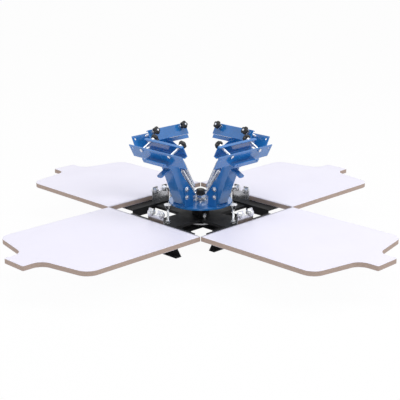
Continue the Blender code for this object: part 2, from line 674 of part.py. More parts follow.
def make_head_carousel(mats):
    """The head hub with its bolts and spring posts, the blue disc and four pivot brackets."""
    top = DISC_Z + DISC_T
    bm = bmesh.new()
    flange_top = DISC_Z - GAP
    turned(bm, [(BEARING_BORE_R, HUB_Z), (HUB_FLANGE_R, HUB_Z), (HUB_FLANGE_R, flange_top),
                (HUB_NECK_R, flange_top), (HUB_NECK_R, HUB_TOP_Z), (BEARING_BORE_R, HUB_TOP_Z)], 24)
    studs, disc, holes = bmesh.new(), bmesh.new(), bmesh.new()
    bore = HUB_NECK_R + GAP
    turned(disc, [(bore, DISC_Z), (DISC_R, DISC_Z), (DISC_R, top), (bore, top)], 48)
    feet = [at_station(k, BRACKET_BOLT_R, side * BRACKET_BOLT_S) for k in range(STATIONS) for side in (-1, 1)]
    posts = [at_station(k, POST_R, 0) for k in range(STATIONS)]
    for spot in diagonal_spots(HUB_BOLT_R) + posts + feet:
        rod(holes, SMALL_BOLT_R + GAP, HUB_Z - OVERRUN / 2, top + OVERRUN / 2, spot, steps=8)
    for spot in diagonal_spots(HUB_BOLT_R):
        through_bolt(studs, spot, top + GAP, HUB_Z + WELD_STEP, SMALL_BOLT_R, SMALL_HEAD_R, SMALL_HEAD_H)
    for spot in posts:
        post_solid(studs, spot, top + GAP)
    finish("head_hub", combine("head_hub", bm, [("UNION", studs)]), mats["steel"])
    finish("head_disc", combine("head_disc", disc, [("DIFFERENCE", holes)]), mats["blue"])

    ears = ear_mesh()
    bm = bmesh.new()
    through_bolt(bm, (PIVOT_R, PIVOT_Z), EAR_OUTER_S + GAP, -EAR_OUTER_S - GAP, PIVOT_BOLT_R, PIVOT_HEAD_R,
                 PIVOT_HEAD_H, "Y")
    pin = as_mesh("pivot_bolt", bm)
    for k in range(STATIONS):
        finish(f"arm_bracket_{k + 1}", ears, mats["blue"], station(k))
        finish(f"pivot_bolt_{k + 1}", pin, mats["chrome"], station(k))


# print arms

def arm_mesh():
    """The folded arm: tapered channel, step down to the clamp plate, tongue, lip and studs."""
    floor = PLATE_Z
    top = floor + ARM_SHEET
    outline = [(ARM_TAIL_X, ARM_TAIL_Z), (ARM_BEND_X, ARM_BEND_Z), (CLAMP_STEP_X, floor),
               (PLATE_OUTER_X - ARM_SHEET, floor), (PLATE_OUTER_X - ARM_SHEET, top), (CHEEK_TOE_X, top + ARM_SHEET),
               (CHEEK_MID_X, CHEEK_MID_Z), (ARM_END_X, ARM_END_Z), (ARM_SLIM_X, ARM_SLIM_Z),
               (ARM_WAIST_X, ARM_WAIST_Z), (ARM_TAIL_TOP_X, ARM_TAIL_TOP_Z)]
    bm = bmesh.new()
    prism(bm, outline, "Y", -ARM_HALF_W, ARM_HALF_W)
    rise = ARM_TAIL_TOP_Z + OVERRUN
    inside = bmesh.new()
    slope = (ARM_BEND_Z - ARM_TAIL_Z) / (ARM_BEND_X - ARM_TAIL_X)
    tail = ARM_TAIL_TOP_X - OVERRUN
    prism(inside, [(tail, arm_floor(tail) + ARM_SHEET), (ARM_BEND_X + ARM_SHEET * slope, ARM_BEND_Z + ARM_SHEET),
                   (CLAMP_STEP_X + ARM_SHEET / 2, top), (PLATE_OUTER_X + OVERRUN, top),
                   (PLATE_OUTER_X + OVERRUN, rise), (tail, rise)], "Y",
          -ARM_HALF_W + ARM_SHEET, ARM_HALF_W - ARM_SHEET)
    plate = bmesh.new()
    box(plate, PLATE_INNER_X, PLATE_OUTER_X, -PLATE_HALF_L, PLATE_HALF_L, floor + WELD_STEP, top + WELD_STEP)
    lip = bmesh.new()
    prism(lip, [(LIP_X, floor + ARM_SHEET / 2), (LIP_X, LIP_Z), (LIP_FOOT_X, LIP_Z), (LIP_FOOT_X, LIP_Z + ARM_SHEET),
                (LIP_X + ARM_SHEET, LIP_Z + ARM_SHEET), (LIP_X + ARM_SHEET, floor + ARM_SHEET / 2)], "Y",
          -LIP_HALF_L, LIP_HALF_L)
    tongue = bmesh.new()
    edge, tip = TONGUE_HALF_W, TONGUE_TIP_Z
    root = arm_floor(TONGUE_X - TONGUE_T / 2) + ARM_SHEET / 2
    prism(tongue, [(-edge, root), (-edge, tip + TONGUE_CHAMFER), (TONGUE_CHAMFER - edge, tip),
                   (edge - TONGUE_CHAMFER, tip), (edge, tip + TONGUE_CHAMFER), (edge, root)], "X",
          TONGUE_X - TONGUE_T / 2, TONGUE_X + TONGUE_T / 2)
    studs = bmesh.new()
    for side in (-1, 1):
        rod(studs, STUD_R, floor + ARM_SHEET, STUD_TOP_Z, (STUD_X, side * STUD_S), steps=8)
    lug = bmesh.new()
    foot = arm_floor(LUG_X - LUG_HALF_L) + ARM_SHEET / 2
    prism(lug, [(LUG_X - LUG_HALF_L, foot), (LUG_X + LUG_HALF_L, foot), (LUG_X + LUG_EYE_R / 2, LUG_Z),
                (LUG_X - LUG_EYE_R / 2, LUG_Z)], "Y", -LUG_T / 2, LUG_T / 2)
    eye = bmesh.new()
    rod(eye, LUG_EYE_R, -LUG_T, LUG_T, (LUG_X, LUG_Z), "Y", 8)
    cuts = bmesh.new()
    rod(cuts, PIVOT_BOLT_R + GAP, -ARM_HALF_W - OVERRUN, ARM_HALF_W + OVERRUN, (0, 0), "Y", 12)
    for side in (-1, 1):
        rod(cuts, PLATE_HOLE_R, floor - OVERRUN / 2, top + OVERRUN,
            (PLATE_OUTER_X - PLATE_HOLE_INSET, side * (PLATE_HALF_L - PLATE_HOLE_INSET)), steps=8)
        rod(cuts, PLATE_HOLE_R * 0.75, LIP_Z - OVERRUN / 2, LIP_Z + OVERRUN / 2,
            (LIP_FOOT_X - LIP_HOLE_INSET / 2, side * (LIP_HALF_L - LIP_HOLE_INSET)), steps=8)
    joins = [("DIFFERENCE", inside), ("UNION", plate), ("UNION", lip), ("UNION", tongue),
             ("UNION", lug), ("UNION", eye), ("UNION", studs), ("DIFFERENCE", cuts)]
    return combine("arm", bm, joins)


def jaw_mesh():
    """The clamp's upper jaw: a channel that opens downward, with two stud holes."""
    z, t = JAW_TOP_Z, JAW_SHEET
    bm = bmesh.new()
    prism(bm, [(JAW_INNER_X, z), (JAW_INNER_X, JAW_REAR_Z), (JAW_INNER_X + t, JAW_REAR_Z),
               (JAW_INNER_X + t, z - t), (JAW_OUTER_X - t, z - t), (JAW_OUTER_X - t, JAW_FRONT_Z),
               (JAW_OUTER_X, JAW_FRONT_Z), (JAW_OUTER_X, z)], "Y", -JAW_HALF_L, JAW_HALF_L)
    cuts = bmesh.new()
    for side in (-1, 1):
        rod(cuts, JAW_HOLE_R, z - t - OVERRUN / 2, z + OVERRUN, (STUD_X, side * STUD_S), steps=12)
    return combine("jaw", bm, [("DIFFERENCE", cuts)])


def knob_mesh():
    """A star knob on a collar, open through the middle for its stud, on its own axis."""
    z0 = JAW_TOP_Z + GAP
    z1 = z0 + KNOB_COLLAR_H
    z2 = z1 + KNOB_H
    bm = bmesh.new()
    turned(bm, [(JAW_HOLE_R, z0), (KNOB_COLLAR_R, z0), (KNOB_COLLAR_R, z1), (KNOB_R, z1 + KNOB_HUB_H / 2),
                (KNOB_R, z2 - KNOB_HUB_H / 2), (KNOB_HUB_R, z2 + KNOB_HUB_H), (JAW_HOLE_R, z2 + KNOB_HUB_H)],
           20, lobed=(3, 4))
    return as_mesh("knob", bm)


def spring_path(start, end):
    """The path of a spring: straight shanks, a coil that swells from them, and its turns."""
    run = end - start
    axis = run.normalized()
    side = axis.orthogonal().normalized()
    other = axis.cross(side)
    length = run.length
    turns = SPRING_TURNS
    count = turns * SPRING_STEPS
    points = [start, start + axis * SPRING_WIRE_R * 2]
    for k in range(count + 1):
        ramp = min(1.0, k / SPRING_STEPS * 2, (count - k) / SPRING_STEPS * 2)
        along = SPRING_LEAD + (length - 2 * SPRING_LEAD) * k / count
        angle = 2 * math.pi * k / SPRING_STEPS
        radial = (side * math.cos(angle) + other * math.sin(angle)) * SPRING_COIL_R * ramp
        points.append(start + axis * along + radial)
    return points + [end - axis * SPRING_WIRE_R * 2, end]


def least_gap(points):
    """The least distance between turns of the tube, less its own thickness."""
    dots = np.array([list(p) for p in points])
    fine = np.concatenate([dots[:-1] + (dots[1:] - dots[:-1]) * share for share in (0.0, 0.25, 0.5, 0.75)])
    order = np.concatenate([np.arange(len(dots) - 1) + share for share in (0.0, 0.25, 0.5, 0.75)])
    far = np.abs(order[:, None] - order[None, :]) > SPRING_STEPS / 2
    span = np.linalg.norm(fine[:, None, :] - fine[None, :, :], axis=2)
    return float(span[far].min()) - 2 * SPRING_WIRE_R


def make_spring(k, mats):
    """One extension spring from an arm's lug to its post, as one unbroken tube."""
    rest = Matrix.Rotation(-RAISE, 4, "Y")
    lug = rest @ Vector((LUG_X, 0, LUG_Z)) + Vector((PIVOT_R, 0, PIVOT_Z))
    ball = Vector((POST_R, 0, POST_BALL_Z))
    axis = (ball - lug).normalized()
    points = spring_path(lug + axis * (LUG_EYE_R + GAP), ball - axis * (POST_BALL_R + GAP))
    if k == 0:
        print("spring least gap in mm:", round(least_gap(points) / WELD_STEP / 2, 3))
    curve = bpy.data.curves.new("spring", "CURVE")
    curve.dimensions = "3D"
    line = curve.splines.new("POLY")
    line.points.add(len(points) - 1)
    for spot, point in zip(line.points, points):
        spot.co = (*(point), 1.0)
    curve.bevel_depth = SPRING_WIRE_R
    curve.bevel_resolution = 1
    curve.use_fill_caps = True
    curve.materials.append(mats["chrome"])
    obj = bpy.data.objects.new(f"spring_{k + 1}", curve)
    bpy.context.scene.collection.objects.link(obj)
    obj.matrix_world = station(k)


def make_arms(mats):
    """Four print arms at rest, each with its jaw, two star knobs and its spring."""
    arm, jaw, knob = arm_mesh(), jaw_mesh(), knob_mesh()
    for k in range(STATIONS):
        pivot = bpy.data.objects.new(f"arm_pivot_{k + 1}", None)
        bpy.context.scene.collection.objects.link(pivot)
        pivot.matrix_world = (station(k) @ Matrix.Translation((PIVOT_R, 0, PIVOT_Z))
                              @ Matrix.Rotation(-RAISE, 4, "Y"))
        finish(f"arm_{k + 1}", arm, mats["blue"], Matrix.Identity(4), pivot)
        finish(f"jaw_{k + 1}", jaw, mats["blue"], Matrix.Identity(4), pivot)
        for side, letter in ((-1, "a"), (1, "b")):
            finish(f"knob_{k + 1}{letter}", knob, mats["plastic"],
                   Matrix.Translation((STUD_X, side * STUD_S, 0)), pivot)
        make_spring(k, mats)


def main():
    """Clear the scene and build the press."""
    for obj in list(bpy.data.objects):
        bpy.data.objects.remove(obj)
    mats = {
        "laminate": material("laminate", (0.86, 0.85, 0.93), 0.35, 0.0),
        "black": material("black_paint", (0.012, 0.012, 0.014), 0.40, 0.0),
        "blue": material("blue_paint", (0.015, 0.09, 0.38), 0.28, 0.0),
        "steel": material("steel", (0.45, 0.45, 0.46), 0.35, 1.0),
        "chrome": material("zinc_plate", (0.72, 0.73, 0.75), 0.20, 1.0),
        "plastic": material("black_plastic", (0.010, 0.010, 0.011), 0.45, 0.0),
    }
    make_base(mats)
    make_pallet_carousel(mats)
    make_head_carousel(mats)
    make_arms(mats)
    bpy.context.view_layer.update()


main()
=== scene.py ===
"""Looks of a four station tabletop screen printing press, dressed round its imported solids.

Station 1 points along +X and the others follow every quarter turn. All sizes are in metres, in the
frame of the solids. Sheet metal keeps the solid's shape with rounded edges; fasteners, knobs,
rollers, springs, pallets and weld beads are surfaces worked out on grids.
"""
import json
import math

import bmesh
import bpy
import numpy as np
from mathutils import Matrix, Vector

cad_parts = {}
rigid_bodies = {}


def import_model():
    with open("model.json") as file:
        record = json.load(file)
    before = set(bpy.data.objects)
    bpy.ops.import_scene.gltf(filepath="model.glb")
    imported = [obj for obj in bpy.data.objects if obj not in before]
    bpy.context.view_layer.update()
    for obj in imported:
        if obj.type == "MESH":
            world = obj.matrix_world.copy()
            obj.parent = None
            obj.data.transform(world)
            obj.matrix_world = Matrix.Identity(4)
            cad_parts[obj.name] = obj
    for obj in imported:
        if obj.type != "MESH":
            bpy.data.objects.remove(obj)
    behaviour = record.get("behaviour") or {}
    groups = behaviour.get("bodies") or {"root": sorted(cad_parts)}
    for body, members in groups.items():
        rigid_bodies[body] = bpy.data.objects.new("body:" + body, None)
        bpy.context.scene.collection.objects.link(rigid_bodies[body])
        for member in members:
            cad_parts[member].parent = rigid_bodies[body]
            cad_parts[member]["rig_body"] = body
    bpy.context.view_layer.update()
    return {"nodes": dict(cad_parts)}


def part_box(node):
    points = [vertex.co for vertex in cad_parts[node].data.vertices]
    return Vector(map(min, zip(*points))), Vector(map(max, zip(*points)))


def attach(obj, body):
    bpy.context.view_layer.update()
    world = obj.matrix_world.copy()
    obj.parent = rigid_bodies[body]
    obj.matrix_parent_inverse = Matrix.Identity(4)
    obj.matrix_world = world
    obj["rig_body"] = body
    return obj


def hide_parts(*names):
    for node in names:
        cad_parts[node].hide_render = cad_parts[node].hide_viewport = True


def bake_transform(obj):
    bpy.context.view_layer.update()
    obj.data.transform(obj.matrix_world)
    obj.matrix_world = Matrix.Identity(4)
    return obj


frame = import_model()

bl_info = {
    "name": "Screen printing press",
    "version": (1, 0, 0),
    "blender": (4, 5, 0),
    "location": "View3D > Sidebar > Press",
    "description": "Dresses the solids of a tabletop screen printing press with finished pieces",
    "category": "Object",
}

# Driving dimensions. R is a distance from the turning axis, Z a height, and X, S and LUG lie on the
# lowered arm, counted from its pivot.
STATIONS = 4
PIVOT_R, PIVOT_Z, RAISE = 0.094, 0.190, math.radians(62.5)
PALLET_TOP = 0.130
STUD_X, STUD_S, JAW_TOP = 0.2025, 0.0665, 0.026
POST_R, BALL_Z = 0.027, 0.186
LUG = (0.087, 0.045)


# settings

class PressSizes(bpy.types.PropertyGroup):
    """Sizes that a user would change."""
    sheet_edge: bpy.props.FloatProperty(
        name="Sheet edge", description="How far the cut edges of folded sheet are rounded",
        default=0.0007, unit="LENGTH")
    thread_pitch: bpy.props.FloatProperty(
        name="Thread pitch", description="The rise of one turn of the bolt threads",
        default=0.00125, unit="LENGTH")
    knob_lobes: bpy.props.IntProperty(
        name="Knob lobes", description="How many lobes a star knob has", default=5, min=3, max=9)
    spring_turns: bpy.props.IntProperty(
        name="Spring turns", description="How many turns each extension spring has",
        default=34, min=8, max=60)
    spring_wire: bpy.props.FloatProperty(
        name="Spring wire", description="The radius of the springs' wire", default=0.0009, unit="LENGTH")
    laminate: bpy.props.FloatProperty(
        name="Laminate", description="The thickness of the white sheet on each side of a pallet",
        default=0.0009, unit="LENGTH")


class PressColours(bpy.types.PropertyGroup):
    """Colours that a user would change."""
    blue: bpy.props.FloatVectorProperty(
        name="Blue", description="The powder coat of the arms and the head", subtype="COLOR",
        default=(0.015, 0.160, 0.470))
    black: bpy.props.FloatVectorProperty(
        name="Black", description="The powder coat of the cross, the brackets and the base", subtype="COLOR",
        default=(0.008, 0.008, 0.009))
    laminate: bpy.props.FloatVectorProperty(
        name="Laminate", description="The faces of the pallets", subtype="COLOR", default=(0.83, 0.81, 0.93))
    board: bpy.props.FloatVectorProperty(
        name="Board", description="The cut edges of the pallets", subtype="COLOR", default=(0.52, 0.40, 0.34))
    zinc: bpy.props.FloatVectorProperty(
        name="Zinc", description="The bright plating of the bolts and springs", subtype="COLOR",
        default=(0.78, 0.79, 0.81))
    steel: bpy.props.FloatVectorProperty(
        name="Steel", description="The machined hubs, post and bearings", subtype="COLOR",
        default=(0.46, 0.46, 0.47))
    plastic: bpy.props.FloatVectorProperty(
        name="Plastic", description="The star knobs and the cap", subtype="COLOR",
        default=(0.012, 0.012, 0.013))


# surfaces on grids

HEX_STEPS, CONE_ROWS, CONE_SHARE = 72, 6, 0.94
THREAD_STEPS, THREAD_ROWS, CREST = 28, 6, 1.25
BEAD_BASE, BEAD_RISE, BEAD_END, BEAD_RIPPLES = 0.88, 0.16, 0.25, 14


def circle(steps):
    """Evenly spaced angles round one turn."""
    return np.arange(steps) * (2 * np.pi / steps)


def revolve(profile, steps=40, swell=None):
    """A profile of (radius, height) rows turned round Z: (r s cos a, r s sin a, h), s = swell(row, a)."""
    rows = np.asarray(profile, float)
    a = circle(steps)[None, :]
    r = rows[:, :1] * np.ones_like(a)
    if swell is not None:
        r = r * swell(np.arange(len(rows))[:, None], a)
    return np.stack([r * np.cos(a), r * np.sin(a), rows[:, 1:2] * np.ones_like(a)], axis=-1)


def hexagon(across, low, high, bore=0.0, ends=(False, True)):
    """A hex head or nut, whose ends are chamfered where asked.

    Its radius is flat / cos(angle off the flat's middle), and 30 degree cones cut it: at a distance d
    from a chamfered end the radius is at most CONE_SHARE flat + sqrt(3) d.
    """
    a = circle(HEX_STEPS)
    flat = across / 2
    edge = flat / np.cos(a % (np.pi / 3) - np.pi / 6)
    drop = (2 / math.sqrt(3) - CONE_SHARE) * flat / math.sqrt(3)
    inside = np.linspace(0, 1, CONE_ROWS) * drop
    bottom = low + inside if ends[0] else [low]
    top = high - inside if ends[1] else [high]
    heights = np.unique(np.concatenate([bottom, top]))
    cone = np.full((len(heights), 1), np.inf)
    for near, end in zip(ends, (low, high)):
        if near:
            cone = np.minimum(cone, CONE_SHARE * flat + math.sqrt(3) * np.abs(heights - end)[:, None])
    r = np.minimum(edge[None, :], cone)
    rows = np.stack([r * np.cos(a), r * np.sin(a), heights[:, None] * np.ones_like(r)], axis=-1)
    if bore:
        return np.concatenate([rows, revolve([(bore, high), (bore, low)], HEX_STEPS)])
    return rows


def thread(major, minor, pitch, low, high):
    """A threaded rod, whose radius is a triangle wave of h / pitch - a / turn that tapers at both ends."""
    count = max(8, int(math.ceil((high - low) / pitch * THREAD_ROWS)))
    h = np.linspace(low, high, count)[:, None]
    a = circle(THREAD_STEPS)[None, :]
    phase = (h - low) / pitch - a / (2 * np.pi)
    wave = np.abs(phase % 1.0 - 0.5) * 2
    taper = np.clip(np.minimum(h - low, high - h) / pitch, 0.0, 1.0)
    r = minor + (major - minor) * np.minimum(wave * CREST, 1.0) * taper
    return np.stack([r * np.cos(a), r * np.sin(a), h * np.ones_like(a)], axis=-1)


def tube(path, across, radius, sides):
    """A round tube: path + radius (n cos a + b sin a), n being the part of across square to the path."""
    path = np.asarray(path, float)
    run = np.gradient(path, axis=0)
    run /= np.linalg.norm(run, axis=1, keepdims=True)
    side = across - (across * run).sum(1, keepdims=True) * run
    side /= np.linalg.norm(side, axis=1, keepdims=True)
    other = np.cross(run, side)
    a = circle(sides)[None, :, None]
    r = np.broadcast_to(np.asarray(radius, float).reshape(-1, 1, 1), (len(path), 1, 1))
    return path[:, None, :] + r * (side[:, None, :] * np.cos(a) + other[:, None, :] * np.sin(a))


def bead(start, end, width):
    """A weld bead: a straight tube of radius width (BEAD_BASE + BEAD_RISE |sin|), drawn in at its ends."""
    t = np.linspace(0, 1, BEAD_RIPPLES * 6 + 1)
    start, end = np.asarray(start, float), np.asarray(end, float)
    path = start + t[:, None] * (end - start)
    fade = np.clip(np.minimum(t, 1 - t) * BEAD_RIPPLES, BEAD_END, 1.0)
    radius = width * (BEAD_BASE + BEAD_RISE * np.abs(np.sin(np.pi * BEAD_RIPPLES * t))) * fade
    return tube(path, np.broadcast_to((0.0, 0.0, 1.0), path.shape), radius, 10)


def placed(rows, at, axis=(0, 0, 1), twist=0.0):
    """Rows made round Z, carried to a point with Z along an axis and turned by a twist about it."""
    z = np.asarray(axis, float) / np.linalg.norm(axis)
    guide = np.array([0.0, 0.0, 1.0]) if abs(z[2]) < 0.9 else np.array([1.0, 0.0, 0.0])
    x = np.cross(guide, z)
    x /= np.linalg.norm(x)
    y = np.cross(z, x)
    c, s = math.cos(twist), math.sin(twist)
    basis = np.stack([x * c + y * s, y * c - x * s, z])
    return rows @ basis + np.asarray(at, float)


def turned_to(rows, k):
    """Rows of station 1 carried to station k + 1 by quarter turns about Z."""
    c, s = ((1, 0), (0, 1), (-1, 0), (0, -1))[k]
    x, y = rows[..., 0], rows[..., 1]
    return np.stack([c * x - s * y, s * x + c * y, rows[..., 2]], axis=-1)


def raised(rows):
    """Rows drawn on a lowered arm, with the pivot at the origin, tilted up to the arm's rest pose."""
    c, s = math.cos(RAISE), math.sin(RAISE)
    rows = np.asarray(rows, float)
    x, z = rows[..., 0], rows[..., 2]
    return np.stack([PIVOT_R + x * c - z * s, rows[..., 1], PIVOT_Z + x * s + z * c], axis=-1)


# pieces

SHARP, SOFT = 32.0, 60.0
FLAT_ANGLE, EDGE_ANGLE = math.radians(0.8), math.radians(30)
MERGE, SOLID_MERGE = 1e-7, 2e-6
FOLD_EDGE, DISC_EDGE, PLATE_EDGE, TURNED_EDGE = 0.0008, 0.0009, 0.0005, 0.0004


def merged(mesh, distance, flats=None):
    """Merge a mesh's doubles, join its flat faces if an angle is given, and turn its faces outward."""
    bm = bmesh.new()
    bm.from_mesh(mesh)
    bmesh.ops.remove_doubles(bm, verts=bm.verts, dist=distance)
    if flats is not None:
        bmesh.ops.dissolve_limit(bm, angle_limit=flats, verts=bm.verts, edges=bm.edges)
    bmesh.ops.recalc_face_normals(bm, faces=bm.faces)
    bm.to_mesh(mesh)
    bm.free()


def faces_of(n, m, kind, start):
    """The faces of a grid of n rows round m steps, as lists of point numbers counted from start."""
    i = np.arange(n if kind == "ring" else n - 1)[:, None]
    j = np.arange(m)[None, :]
    up, right = (i + 1) % n, (j + 1) % m
    quads = np.stack([i * m + j, i * m + right, up * m + right, up * m + j], axis=-1).reshape(-1, 4)
    faces = (quads + start).tolist()
    if kind in ("solid", "foot"):
        faces.append((start + np.arange(m)[::-1]).tolist())
    if kind in ("solid", "lid"):
        faces.append((start + (n - 1) * m + np.arange(m)).tolist())
    return faces


def piece(name, shells, body, finishes, replaced=(), sharp=SHARP):
    """One object from shells of (rows, kind, finish number).

    A solid shell has its first and last row closed by a face, a foot only its first, a lid only its last
    and an open one neither. A ring's rows meet end to end.
    """
    points, faces, slots, start = [], [], [], 0
    for rows, kind, number in shells:
        made = faces_of(*rows.shape[:2], kind, start)
        faces += made
        slots += [number] * len(made)
        points.append(rows.reshape(-1, 3))
        start += len(points[-1])
    mesh = bpy.data.meshes.new(name)
    mesh.from_pydata(np.concatenate(points).tolist(), [], faces)
    mesh.polygons.foreach_set("material_index", np.array(slots, np.int32))
    merged(mesh, MERGE)
    return dressed(name, mesh, body, finishes, replaced, sharp)


def dressed(name, mesh, body, finishes, replaced, sharp):
    """An object on a mesh, with its finishes, that rides on a body and stands for the nodes it replaces."""
    for label in finishes:
        mesh.materials.append(MATERIALS[label])
    mesh.shade_smooth()
    mesh.set_sharp_from_angle(angle=math.radians(sharp))
    obj = bpy.data.objects.new(name, mesh)
    bpy.context.scene.collection.objects.link(obj)
    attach(obj, body)
    if replaced:
        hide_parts(*replaced)
    return obj


def softened(node, finishes, paint=None, width=None, segments=2):
    """A copy of a solid with its triangles merged, its flats joined and its edges rounded.

    The rounded edges take the second finish, which is lighter to paint a highlight along them, and
    paint(centres) gives further faces their finish number.
    """
    source = frame["nodes"][node]
    mesh = source.data.copy()
    mesh.materials.clear()
    merged(mesh, SOLID_MERGE, FLAT_ANGLE)
    numbers = np.zeros(len(mesh.polygons), np.int32)
    if paint is not None:
        centres = np.zeros(len(mesh.polygons) * 3)
        mesh.polygons.foreach_get("center", centres)
        numbers = paint(centres.reshape(-1, 3)).astype(np.int32)
    mesh.polygons.foreach_set("material_index", numbers)
    obj = dressed(node + "_finished", mesh, source["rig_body"], finishes, (node,), SOFT)
    bevel = obj.modifiers.new("edges", "BEVEL")
    bevel.width = width or bpy.context.scene.press_sizes.sheet_edge
    bevel.segments = segments
    bevel.limit_method = "ANGLE"
    bevel.angle_limit = EDGE_ANGLE
    bevel.use_clamp_overlap = True
    bevel.harden_normals = False
    # The rounded edges take the lighter edge finish: a painted highlight.
    bevel.material = 1
    weighted = obj.modifiers.new("flats", "WEIGHTED_NORMAL")
    weighted.keep_sharp = False
    weighted.weight = 80


# finishes

MATERIALS = {}


def group(name, inputs, outputs):
    """A node group with named sockets, and its input and output nodes."""
    tree = bpy.data.node_groups.new(name, "ShaderNodeTree")
    for label, kind, value in inputs:
        socket = tree.interface.new_socket(label, in_out="INPUT", socket_type=kind)
        if value is not None:
            socket.default_value = value
    for label, kind in outputs:
        tree.interface.new_socket(label, in_out="OUTPUT", socket_type=kind)
    return tree, tree.nodes.new("NodeGroupInput").outputs, tree.nodes.new("NodeGroupOutput").inputs


def node(tree, kind, values=None, **settings):
    """A node with its settings and the values or links of its inputs."""
    made = tree.nodes.new(kind)
    for key, value in settings.items():
        setattr(made, key, value)
    for key, value in (values or {}).items():
        if isinstance(value, bpy.types.NodeSocket):
            tree.links.new(value, made.inputs[key])
        else:
            made.inputs[key].default_value = value
    return made


def noise(tree, vector, scale, detail, roughness=0.5):
    """The value of a noise texture."""
    return node(tree, "ShaderNodeTexNoise", {"Vector": vector, "Scale": scale, "Detail": detail,
                                             "Roughness": roughness}).outputs[0]


def ramp(tree, factor, low, high):
    """A factor stretched from low..high to 0..1 and clamped."""
    made = node(tree, "ShaderNodeMapRange", {"Value": factor, "From Min": low, "From Max": high})
    return made.outputs["Result"]


def between(tree, factor, low, high):
    """A factor of 0..1 stretched to low..high."""
    return node(tree, "ShaderNodeMapRange", {"Value": factor, "To Min": low, "To Max": high}).outputs[0]


def maths(tree, operation, a, b):
    """One sum on two values or sockets."""
    return node(tree, "ShaderNodeMath", {0: a, 1: b}, operation=operation).outputs[0]


def make_grain_group():
    """Coat grain: fine and broad noise as a height, and the broad noise alone as a mask."""
    tree, given, out = group(
        "Coat grain", [("Vector", "NodeSocketVector", None), ("Fine", "NodeSocketFloat", 900.0),
                       ("Broad", "NodeSocketFloat", 60.0)],
        [("Height", "NodeSocketFloat"), ("Mask", "NodeSocketFloat")])
    fine = noise(tree, given["Vector"], given["Fine"], 3.0, 0.6)
    broad = noise(tree, given["Vector"], given["Broad"], 4.0, 0.55)
    height = maths(tree, "ADD", maths(tree, "MULTIPLY", fine, 0.7), maths(tree, "MULTIPLY", broad, 0.5))
    tree.links.new(height, out["Height"])
    tree.links.new(ramp(tree, broad, 0.35, 0.65), out["Mask"])


def make_scratch_group():
    """Scratches: noise stretched along two crossing directions and kept only near its middle value."""
    tree, given, out = group(
        "Scratches", [("Vector", "NodeSocketVector", None), ("Scale", "NodeSocketFloat", 40.0),
                      ("Width", "NodeSocketFloat", 0.012)], [("Mask", "NodeSocketFloat")])
    masks = []
    for angle, stretch in ((0.45, (1.0, 14.0, 9.0)), (-0.7, (11.0, 1.0, 12.0))):
        turn = node(tree, "ShaderNodeMapping", {"Vector": given["Vector"], "Rotation": (0.3, 0.2, angle),
                                                "Scale": stretch})
        streaks = noise(tree, turn.outputs[0], given["Scale"], 2.0)
        off = maths(tree, "ABSOLUTE", maths(tree, "SUBTRACT", streaks, 0.5), 0.0)
        line = maths(tree, "LESS_THAN", off, given["Width"])
        patches = noise(tree, given["Vector"], 17.0, 1.0)
        masks.append(maths(tree, "MULTIPLY", line, ramp(tree, patches, 0.56, 0.66)))
    tree.links.new(maths(tree, "MAXIMUM", masks[0], masks[1]), out["Mask"])


def make_fibre_group():
    """Board fibres: flecks of noise drawn out along the board and fine dust between them."""
    tree, given, out = group(
        "Board fibres", [("Vector", "NodeSocketVector", None), ("Scale", "NodeSocketFloat", 260.0)],
        [("Mask", "NodeSocketFloat"), ("Height", "NodeSocketFloat")])
    drawn = node(tree, "ShaderNodeMapping", {"Vector": given["Vector"], "Scale": (0.35, 0.35, 2.6)})
    drawn = drawn.outputs[0]
    flecks = noise(tree, drawn, given["Scale"], 5.0, 0.7)
    cells = node(tree, "ShaderNodeTexVoronoi", {"Vector": drawn, "Scale": given["Scale"]}).outputs[0]
    tree.links.new(ramp(tree, flecks, 0.3, 0.7), out["Mask"])
    tree.links.new(maths(tree, "ADD", flecks, maths(tree, "MULTIPLY", cells, 0.4)), out["Height"])


def finish(name, colour, other, rough, span, fine, bump, broad=None, metallic=0.0, scratch=0.0,
           scratch_colour=None, coat=0.0, specular=0.5, grain_name="Coat grain"):
    """A procedural finish: two colours mixed by the grain's mask, scratches over them, and its bump.

    The roughness is rough + span mask. Fine and broad are the scales of the grain's two noises.
    """
    mat = bpy.data.materials.new(name)
    mat.use_nodes = True
    tree = mat.node_tree
    shader = tree.nodes["Principled BSDF"]
    place = node(tree, "ShaderNodeTexCoord").outputs["Object"]
    grain = node(tree, "ShaderNodeGroup", node_tree=bpy.data.node_groups[grain_name])
    tree.links.new(place, grain.inputs["Vector"])
    if broad is not None:
        grain.inputs["Fine"].default_value = fine
        grain.inputs["Broad"].default_value = broad
    else:
        grain.inputs["Scale"].default_value = fine
    mask = grain.outputs["Mask"]
    base = node(tree, "ShaderNodeMix", {"Factor": mask, 6: (*colour, 1), 7: (*other, 1)},
                data_type="RGBA").outputs[2]
    roughness = maths(tree, "ADD", maths(tree, "MULTIPLY", mask, span), rough)
    if scratch:
        marks = node(tree, "ShaderNodeGroup", node_tree=bpy.data.node_groups["Scratches"])
        tree.links.new(place, marks.inputs["Vector"])
        faint = maths(tree, "MULTIPLY", marks.outputs["Mask"], scratch)
        base = node(tree, "ShaderNodeMix", {"Factor": faint, 6: base, 7: (*scratch_colour, 1)},
                    data_type="RGBA").outputs[2]
        roughness = maths(tree, "ADD", roughness, maths(tree, "MULTIPLY", faint, 0.3))
    tree.links.new(base, shader.inputs["Base Color"])
    tree.links.new(roughness, shader.inputs["Roughness"])
    shader.inputs["Metallic"].default_value = metallic
    shader.inputs["Coat Weight"].default_value = coat
    shader.inputs["Coat Roughness"].default_value = 0.08
    shader.inputs["Specular IOR Level"].default_value = specular
    raised_by = node(tree, "ShaderNodeBump", {"Height": grain.outputs["Height"], "Strength": bump,
                                              "Distance": 0.0004})
    tree.links.new(raised_by.outputs["Normal"], shader.inputs["Normal"])
    MATERIALS[name] = mat


def shade(colour, factor, lift=0.0):
    """A colour made lighter or darker, and lifted towards white."""
    return tuple(min(1.0, c * factor + lift) for c in colour)


